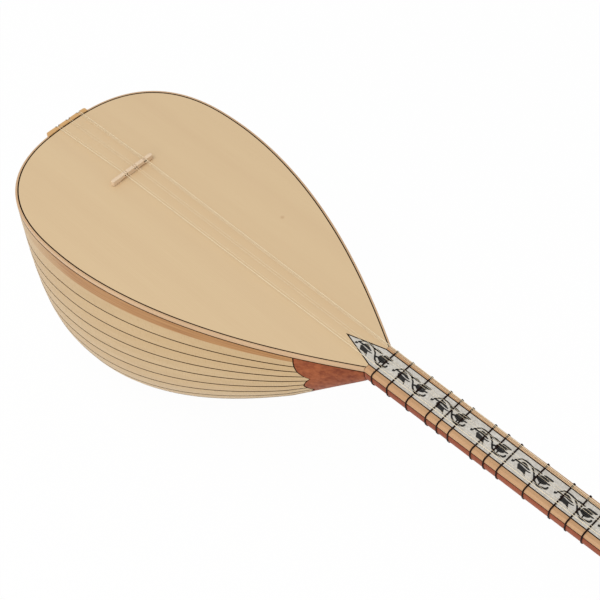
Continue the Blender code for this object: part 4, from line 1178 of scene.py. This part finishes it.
def round_rings(profile, sides=32):
    """Rings of a turned shape standing on +Z; profile holds height, half width and half thickness."""
    rings = []
    for height, wide, thick in profile:
        angles = [2 * math.pi * side / sides for side in range(sides)]
        rings.append([(wide * math.cos(angle), thick * math.sin(angle), height) for angle in angles])
    return rings


def placed(rings, place, axis):
    """Rings stood on a place along an axis."""
    turn = Matrix.Translation(place) @ axis.to_track_quat("Z", "Y").to_matrix().to_4x4()
    return [[turn @ Vector(point) for point in ring] for ring in rings]


def build_head(stuff):
    """Headstock with a rounded back, a rounded end and holes for the pegs."""
    root_depth = NECK_DEPTH_AT_NUT - HEAD_DROP
    keys = ((0.0, 1.0, root_depth), (0.008, 1.0, root_depth - 0.0006), (0.020, 1.0, HEAD_THICKNESS),
            (HEAD_LENGTH - HEAD_NOSE, 1.0, HEAD_END_THICKNESS), (HEAD_LENGTH - 0.006, 0.93, 0.96 * HEAD_END_THICKNESS),
            (HEAD_LENGTH - 0.002, 0.80, 0.89 * HEAD_END_THICKNESS), (HEAD_LENGTH, 0.62, 0.80 * HEAD_END_THICKNESS))
    rings = []
    for along, narrowing, thick in smooth_path(keys, 5):
        half = head_half_width(along) * narrowing
        top, _, _ = head_frame(along)
        corner = 0.0012
        outline = [(half - corner, 0.0), (half - 0.3 * corner, -0.3 * corner), (half, -corner), (half, -0.42 * thick)]
        for step in range(1, 9):
            turn = math.pi / 2 * step / 9
            outline.append((half * math.cos(turn) ** 0.8, -(0.42 + 0.58 * math.sin(turn) ** 0.9) * thick))
        mirrored = [(-y, z) for y, z in reversed(outline)]
        rings.append([(top.x, y, top.z + z) for y, z in (*outline, (0.0, -thick), *mirrored)])
    head = skin("headstock_wood", [rings], stuff["neck"], 40)
    holes = []
    for number, (place, axis, _) in enumerate(peg_places(), 1):
        reach = HEAD_THICKNESS + 0.004 if number <= FRONT_PEGS else 2 * NUT_HALF_WIDTH + 0.004
        profile = [(height, peg_radius(height) + 0.00012, peg_radius(height) + 0.00012) for height in (-reach, reach)]
        holes.append(placed(round_rings(profile, 48), place, axis))
    cut(head, holes)
    finish_mesh(head.data, 40)
    ride(head, "root", "neck", "headstock")


def build_pegs(stuff):
    """Turned pegs with a collar and a flat, waisted knob."""
    collar = PEG_EXPOSED
    knob = collar + 0.004
    for number, (place, axis, _) in enumerate(peg_places(), 1):
        inner = PEG_INNER_LENGTH + (0.0 if number <= FRONT_PEGS else 0.004)
        shaft = [(height, peg_radius(height), peg_radius(height)) for height in (-inner, 0.0, collar - 0.0004, collar)]
        ring = [(collar + 0.0002, 0.92), (collar + 0.0007, 1.0), (collar + 0.0020, 1.0), (collar + 0.0025, 0.9)]
        ring = [(height, PEG_COLLAR_RADIUS * share, PEG_COLLAR_RADIUS * share) for height, share in ring]
        waist = [(knob - 0.0008, 1.25 * PEG_RADIUS, 1.15 * PEG_RADIUS), (knob, 1.0 * PEG_RADIUS, 0.95 * PEG_RADIUS)]
        keys = [(0.0, 0.28, 0.80), (0.12, 0.36, 0.74), (0.25, 0.55, 0.74), (0.40, 0.82, 0.88), (0.55, 1.0, 1.0),
                (0.70, 1.0, 1.0), (0.85, 0.92, 0.90), (0.95, 0.70, 0.62), (1.0, 0.42, 0.30)]
        flat = [(knob + share * KNOB_LENGTH, wide * KNOB_HALF_WIDTH, thick * KNOB_HALF_THICKNESS)
                for share, wide, thick in (tuple(key) for key in smooth_path(keys, 4))]
        rings = placed(round_rings([*shaft, *ring, *waist, *flat[1:]]), place, axis)
        ride(skin(f"peg_{number}_wood", [rings], stuff["peg"], 35), f"peg_{number}", "peg", f"peg_{number}")


# Strings


def string_offsets():
    """For each string its course, its place in the course and its peg."""
    near = ((1, 0.5 * PAIR_STEP, 3), (1, -0.5 * PAIR_STEP, 1))
    middle = ((0, 0.5 * PAIR_STEP, 4), (0, -0.5 * PAIR_STEP, 2))
    far = ((-1, TRIPLE_STEP, 7), (-1, 0.0, 6), (-1, -TRIPLE_STEP, 5))
    return (*near, *middle, *far)


def course_places(step, shift=0.0):
    """Where the strings cross a piece, by the distance between its courses and their shift."""
    return [course * step + shift + offset for course, offset, _ in string_offsets()]


def winding(peg, start, points_per_turn=24):
    """Turns of a string round a peg's exposed shaft, beginning on its arrival side."""
    place, axis, arrival = peg
    ahead = Vector((-math.cos(HEAD_TILT), 0.0, -math.sin(HEAD_TILT)))
    pitch = STRING_DIAMETER + 0.00048
    points = []
    for step in range(int(PEG_TURNS * points_per_turn) + 1):
        angle = 2 * math.pi * step / points_per_turn
        height = start + pitch * step / points_per_turn
        radius = peg_radius(height) + STRING_DIAMETER / 2 + 0.00005
        points.append(place + axis * height + radius * (arrival * math.cos(angle) + ahead * math.sin(angle)))
    return points


def edge_point(nut_point, peg_point):
    """Where a string bends over the head's edge on its way to a side peg."""
    x = nut_point.x + 0.55 * (peg_point.x - nut_point.x)
    along = (HEAD_START_X - x) / math.cos(HEAD_TILT)
    top, _, normal = head_frame(along)
    touch = GAP + STRING_DIAMETER / 2
    return top + Vector((0, -head_half_width(along) - touch, 0)) + normal * touch


def build_strings(stuff):
    """Strings from the holder's slots over the bridge and the nut to the pegs; the outer two are wound."""
    pegs = peg_places()
    wall = HOLDER_END_X - SLOT_DEPTH
    last = len(string_offsets())
    for number, (course, offset, peg_number) in enumerate(string_offsets(), 1):
        tail_y = course * TAIL_COURSE_STEP + TAIL_COURSE_SHIFT + offset
        bridge_y = course * BRIDGE_COURSE_STEP + BRIDGE_COURSE_SHIFT + offset
        nut_y = course * NUT_COURSE_STEP + offset
        points = [Vector((wall + STRING_BEND, tail_y, -SLOT_FLOOR + GAP))]
        for angle in (0, 15, 30, 45, 60, 75, 86):
            turn = math.radians(angle)
            out, up = STRING_BEND * math.cos(turn), STRING_BEND * math.sin(turn)
            points.append(Vector((wall + out, tail_y, HOLDER_TOP + up)))
        points.append(Vector((SCALE_LENGTH, bridge_y, STRING_HEIGHT_AT_BRIDGE)))
        points.append(Vector((0.0, nut_y, STRING_HEIGHT_AT_NUT)))
        points.append(Vector((-NUT_LENGTH, nut_y, STRING_HEIGHT_AT_NUT - 0.0001)))
        coil = winding(pegs[peg_number - 1], STRING_ARRIVALS[peg_number - 1])
        if peg_number > FRONT_PEGS:
            points.append(edge_point(points[-1], coil[0]))
        points += coil
        node = f"string_{number}"
        diameter = WOUND_DIAMETER if number in (1, last) else PLAIN_DIAMETER
        ride(tube(node + "_wire", points, diameter / 2, stuff["string"]), "root", "string", node)


# Nut, bridge and string holder


def build_nut(stuff):
    """Bone nut with a rounded top and a notch for each string."""
    half = NUT_HALF_WIDTH - GAP
    profile = [(-GAP, 0.0001), (-GAP, NUT_HEIGHT - 0.0006), (-0.0008, NUT_HEIGHT),
               (-NUT_LENGTH + 0.0012, NUT_HEIGHT - 0.0001), (-NUT_LENGTH, NUT_HEIGHT - 0.0012),
               (-NUT_LENGTH - GAP, 0.0001)]
    rings = [[(x, y, z) for x, z in profile] for y in (-half, half)]
    nut = soften(skin("nut_bone", [rings], stuff["bone"]), 0.0002)
    floor = STRING_HEIGHT_AT_NUT - STRING_DIAMETER / 2 - 0.0001
    notches = []
    for y in course_places(NUT_COURSE_STEP):
        notches.append(box_rings((-NUT_LENGTH - 0.002, y - 0.00035, floor), (0.002, y + 0.00035, NUT_HEIGHT + 0.002)))
    cut(nut, notches)
    finish_mesh(nut.data, 35)
    ride(nut, "root", "bone", "nut")


def build_bridge(stuff):
    """Loose bridge: a flat bar with rounded ends and soft edges, notches on top and arches between its feet, and
    painted shadows below its notches.
    """
    half = BRIDGE_THICKNESS / 2
    corner = BRIDGE_END_RADIUS
    outline = []
    for quadrant, (side_x, side_y) in enumerate(((1, 1), (-1, 1), (-1, -1), (1, -1))):
        for step in range(9):
            angle = math.pi / 2 * (quadrant + step / 8)
            outline.append((SCALE_LENGTH + side_x * (half - corner) + corner * math.cos(angle),
                            side_y * (BRIDGE_HALF_WIDTH - corner) + corner * math.sin(angle)))
    bridge = skin("bridge_wood", [plan_rings(outline, (GAP, BRIDGE_HEIGHT))], stuff["bridge"])
    soften(bridge, 0.0004)
    inner, outer = BRIDGE_FOOT / 2, BRIDGE_HALF_WIDTH - BRIDGE_FOOT
    reach = (outer - inner) / 2
    tools = []
    for side in (-1, 1):
        middle = side * (inner + outer) / 2
        rings = []
        for x in (SCALE_LENGTH - BRIDGE_THICKNESS, SCALE_LENGTH + BRIDGE_THICKNESS):
            turns = [math.pi * step / 12 for step in range(13)]
            ring = [(x, middle + reach * math.cos(turn), BRIDGE_ARCH * math.sin(turn) ** 0.6) for turn in turns]
            rings.append([*ring, (x, middle - reach, -0.001), (x, middle + reach, -0.001)])
        tools.append(rings)
    tail_slope = (STRING_HEIGHT_AT_BRIDGE - HOLDER_TOP) / (HOLDER_FACE_X - SCALE_LENGTH)
    floor = STRING_HEIGHT_AT_BRIDGE - GAP - STRING_DIAMETER / 2 - tail_slope * (half + 0.002)
    for y in course_places(BRIDGE_COURSE_STEP, BRIDGE_COURSE_SHIFT):
        tools.append(box_rings((SCALE_LENGTH - BRIDGE_THICKNESS, y - 0.00038, floor),
                               (SCALE_LENGTH + BRIDGE_THICKNESS, y + 0.00038, BRIDGE_HEIGHT + 0.002)))
    cut(bridge, tools)
    finish_mesh(bridge.data, 35)
    ride(bridge, "bridge", "bridge", "bridge")
    # Painted shadows: small dark boxes on the bridge's neck-side face, just below each course's notch.
    painted_shadows = []
    for y in course_places(BRIDGE_COURSE_STEP, BRIDGE_COURSE_SHIFT):
        painted_shadows.append(box_rings((SCALE_LENGTH - half - 0.00005, y - 0.00055, floor - 0.0014),
                                (SCALE_LENGTH - half + 0.0009, y + 0.00055, floor + 0.0001)))
    ride(skin("bridge_painted_shadows", painted_shadows, stuff["line"]), "bridge", "bridge")


def slot_painted_shade():
    """Corners of the painted shade in the holder's slots: thin dark plates on a back and two sides each."""
    wall = HOLDER_END_X - SLOT_DEPTH
    top = HOLDER_TOP + 0.00003
    for course in (-1, 0, 1):
        middle = course * TAIL_COURSE_STEP + TAIL_COURSE_SHIFT
        half = SLOT_WIDTH / 2
        yield (wall - 0.0003, middle - half, -SLOT_FLOOR), (wall + 0.0001, middle + half, top)
        for edge in (middle - half, middle + half):
            yield (wall + 0.00012, edge - 0.0003, -SLOT_FLOOR), (HOLDER_END_X + 0.00003, edge + 0.0003, top)


def build_holder(stuff):
    """String holder on the tail: a plate with a lip over the edge band and three slots, with painted shade in the
    slots.
    """
    flat = HOLDER_HALF_WIDTH - HOLDER_ROUNDING
    half = [(flat * step / 12, HOLDER_END_X) for step in range(12)]
    for step in range(9):
        turn = math.pi / 2 * step / 8
        y = flat + HOLDER_ROUNDING * math.sin(turn)
        half.append((y, HOLDER_END_X - HOLDER_ROUNDING * (1 - math.cos(turn))))
    rings = []
    for y, outer in [*((-y, x) for y, x in half[:0:-1]), *half]:
        lip = end_x(y, BAND_WIDTH)
        inner = end_x(y) + 0.00005
        ring = [(lip, HOLDER_TOP - 0.0003), (lip + 0.0003, HOLDER_TOP), (outer - 0.0004, HOLDER_TOP),
                (outer, HOLDER_TOP - 0.0004)]
        for step in range(7):
            turn = math.pi / 2 * step / 6
            share = 1 - (1 - HOLDER_END_LENGTH_SHARE) * (1 - math.cos(turn))
            depth = HOLDER_CHIN_DEPTH + (HOLDER_DEPTH - HOLDER_CHIN_DEPTH) * math.sin(turn)
            ring.append((inner + (outer - inner) * share, -depth))
        ring += [(inner, -HOLDER_DEPTH), (inner, 0.00005), (lip, 0.00005)]
        rings.append([(x, y, z) for x, z in ring])
    holder = skin("string_holder_wood", [rings], stuff["holder"], 40)
    slots = []
    for course in (-1, 0, 1):
        middle = course * TAIL_COURSE_STEP + TAIL_COURSE_SHIFT
        slots.append(box_rings((HOLDER_END_X - SLOT_DEPTH, middle - SLOT_WIDTH / 2, -SLOT_FLOOR),
                               (HOLDER_END_X + 0.003, middle + SLOT_WIDTH / 2, HOLDER_TOP + 0.003)))
    cut(holder, slots)
    finish_mesh(holder.data, 35)
    ride(holder, "root", "holder", "string_holder")
    # Painted shade: thin dark plates lining each slot's back and sides.
    shade_boxes = [box_rings(low, high) for low, high in slot_painted_shade()]
    ride(skin("slot_painted_shade", shade_boxes, stuff["line"]), "root", "holder")


# Stage, light and camera

# The rounded ribs of the looks reach a little below the CAD box
FLOOR_DROP = 0.003
FLOOR_REACH = 6.0


def build_stage():
    """White floor that keeps a soft shadow."""
    low = cad_box[0].z - FLOOR_DROP
    mesh = bpy.data.meshes.new("floor")
    middle = (cad_box[0] + cad_box[1]) / 2
    signs = ((-1, -1), (1, -1), (1, 1), (-1, 1))
    corners = [(middle.x + a * FLOOR_REACH, middle.y + b * FLOOR_REACH, low) for a, b in signs]
    mesh.from_pydata(corners, [], [(0, 1, 2, 3)])
    made = bpy.data.materials.new("pale_floor")
    made.use_nodes = True
    tree = made.node_tree
    tree.nodes.clear()
    out = add_node(tree, "OutputMaterial")
    matte = add_node(tree, "BsdfDiffuse", {"Color": (0.95, 0.95, 0.95, 1.0)})
    white = add_node(tree, "Emission", {"Color": (1.0, 1.0, 1.0, 1.0), "Strength": 1.0})
    seen = add_node(tree, "LightPath").outputs
    either = add_node(tree, "Math", {0: seen["Is Camera Ray"], 1: seen["Is Glossy Ray"]}, operation="MAXIMUM")
    either = add_node(tree, "Math", {0: either.outputs[0], 1: seen["Is Transmission Ray"]}, operation="MAXIMUM")
    share = add_node(tree, "Math", {0: either.outputs[0], 1: 0.97}, operation="MULTIPLY")
    blended = add_node(tree, "MixShader", {0: share.outputs[0], 1: matte.outputs[0], 2: white.outputs[0]})
    tree.links.new(blended.outputs[0], out.inputs["Surface"])
    floor = link("floor", mesh, made)


def build_world():
    """White surround for camera rays and rays passing through things, softer light for the rest."""
    world = bpy.data.worlds.new("surround")
    bpy.context.scene.world = world
    world.use_nodes = True
    tree = world.node_tree
    tree.nodes.clear()
    out = add_node(tree, "OutputWorld")
    soft = add_node(tree, "Background", {"Color": (1.0, 1.0, 1.0, 1.0), "Strength": 0.62})
    white = add_node(tree, "Background", {"Color": (1.0, 1.0, 1.0, 1.0), "Strength": 1.0})
    seen = add_node(tree, "LightPath").outputs
    either = add_node(tree, "Math", {0: seen["Is Camera Ray"], 1: seen["Is Transmission Ray"]}, operation="MAXIMUM")
    blended = add_node(tree, "MixShader", {0: either.outputs[0], 1: soft.outputs[0], 2: white.outputs[0]})
    tree.links.new(blended.outputs[0], out.inputs["Surface"])


def build_lamp(name, place, target, size, power):
    """Large soft lamp aimed at a point."""
    light = bpy.data.lights.new(name, "AREA")
    light.shape = "SQUARE"
    light.size = size
    light.energy = power
    lamp = bpy.data.objects.new(name, light)
    bpy.context.scene.collection.objects.link(lamp)
    lamp.location = place
    lamp.rotation_euler = (Vector(target) - Vector(place)).to_track_quat("-Z", "Y").to_euler()


CAMERA_PLACE = Vector((0.13057, 0.51546, 0.95687))
CAMERA_RIGHT = Vector((-0.71934, -0.69441, -0.01853))
CAMERA_DOWN = Vector((-0.54368, 0.57941, -0.60721))
CAMERA_AHEAD = Vector((0.43239, -0.42672, -0.79433))
FOCAL_PIXELS = 1337.0
IMAGE_PIXELS = 600
SENSOR_MM = 36.0


def build_camera():
    """Camera at the photograph's place."""
    data = bpy.data.cameras.new("camera")
    data.sensor_width = SENSOR_MM
    data.sensor_fit = "HORIZONTAL"
    data.lens = FOCAL_PIXELS * SENSOR_MM / IMAGE_PIXELS
    data.clip_start = 0.01
    data.clip_end = 50.0
    camera = bpy.data.objects.new("camera", data)
    bpy.context.scene.collection.objects.link(camera)
    turn = Matrix((CAMERA_RIGHT, -CAMERA_DOWN, -CAMERA_AHEAD)).transposed().to_4x4()
    camera.matrix_world = Matrix.Translation(CAMERA_PLACE) @ turn
    bpy.context.scene.camera = camera


def main():
    """Dress the frame, light it and aim the camera."""
    stuff = make_materials()
    build_camera()
    build_ribs(stuff)
    build_seams(stuff)
    build_heel(stuff)
    build_rim(stuff)
    build_soundboard(stuff)
    build_neck(stuff)
    build_vine(stuff)
    build_frets(stuff)
    build_head(stuff)
    build_pegs(stuff)
    build_strings(stuff)
    build_nut(stuff)
    build_bridge(stuff)
    build_holder(stuff)
    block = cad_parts["tail_block"]
    block.data.materials.clear()
    block.data.materials.append(stuff["block"])
    build_stage()
    build_world()
    middle = ((cad_box[0] + cad_box[1]) / 2).to_tuple()
    build_lamp("key_lamp", (0.9, 0.9, 2.2), middle, 1.6, 22.0)
    build_lamp("side_lamp", (0.2, 2.2, 0.4), middle, 1.6, 14.0)
    bpy.context.scene.view_settings.view_transform = "Standard"


main()
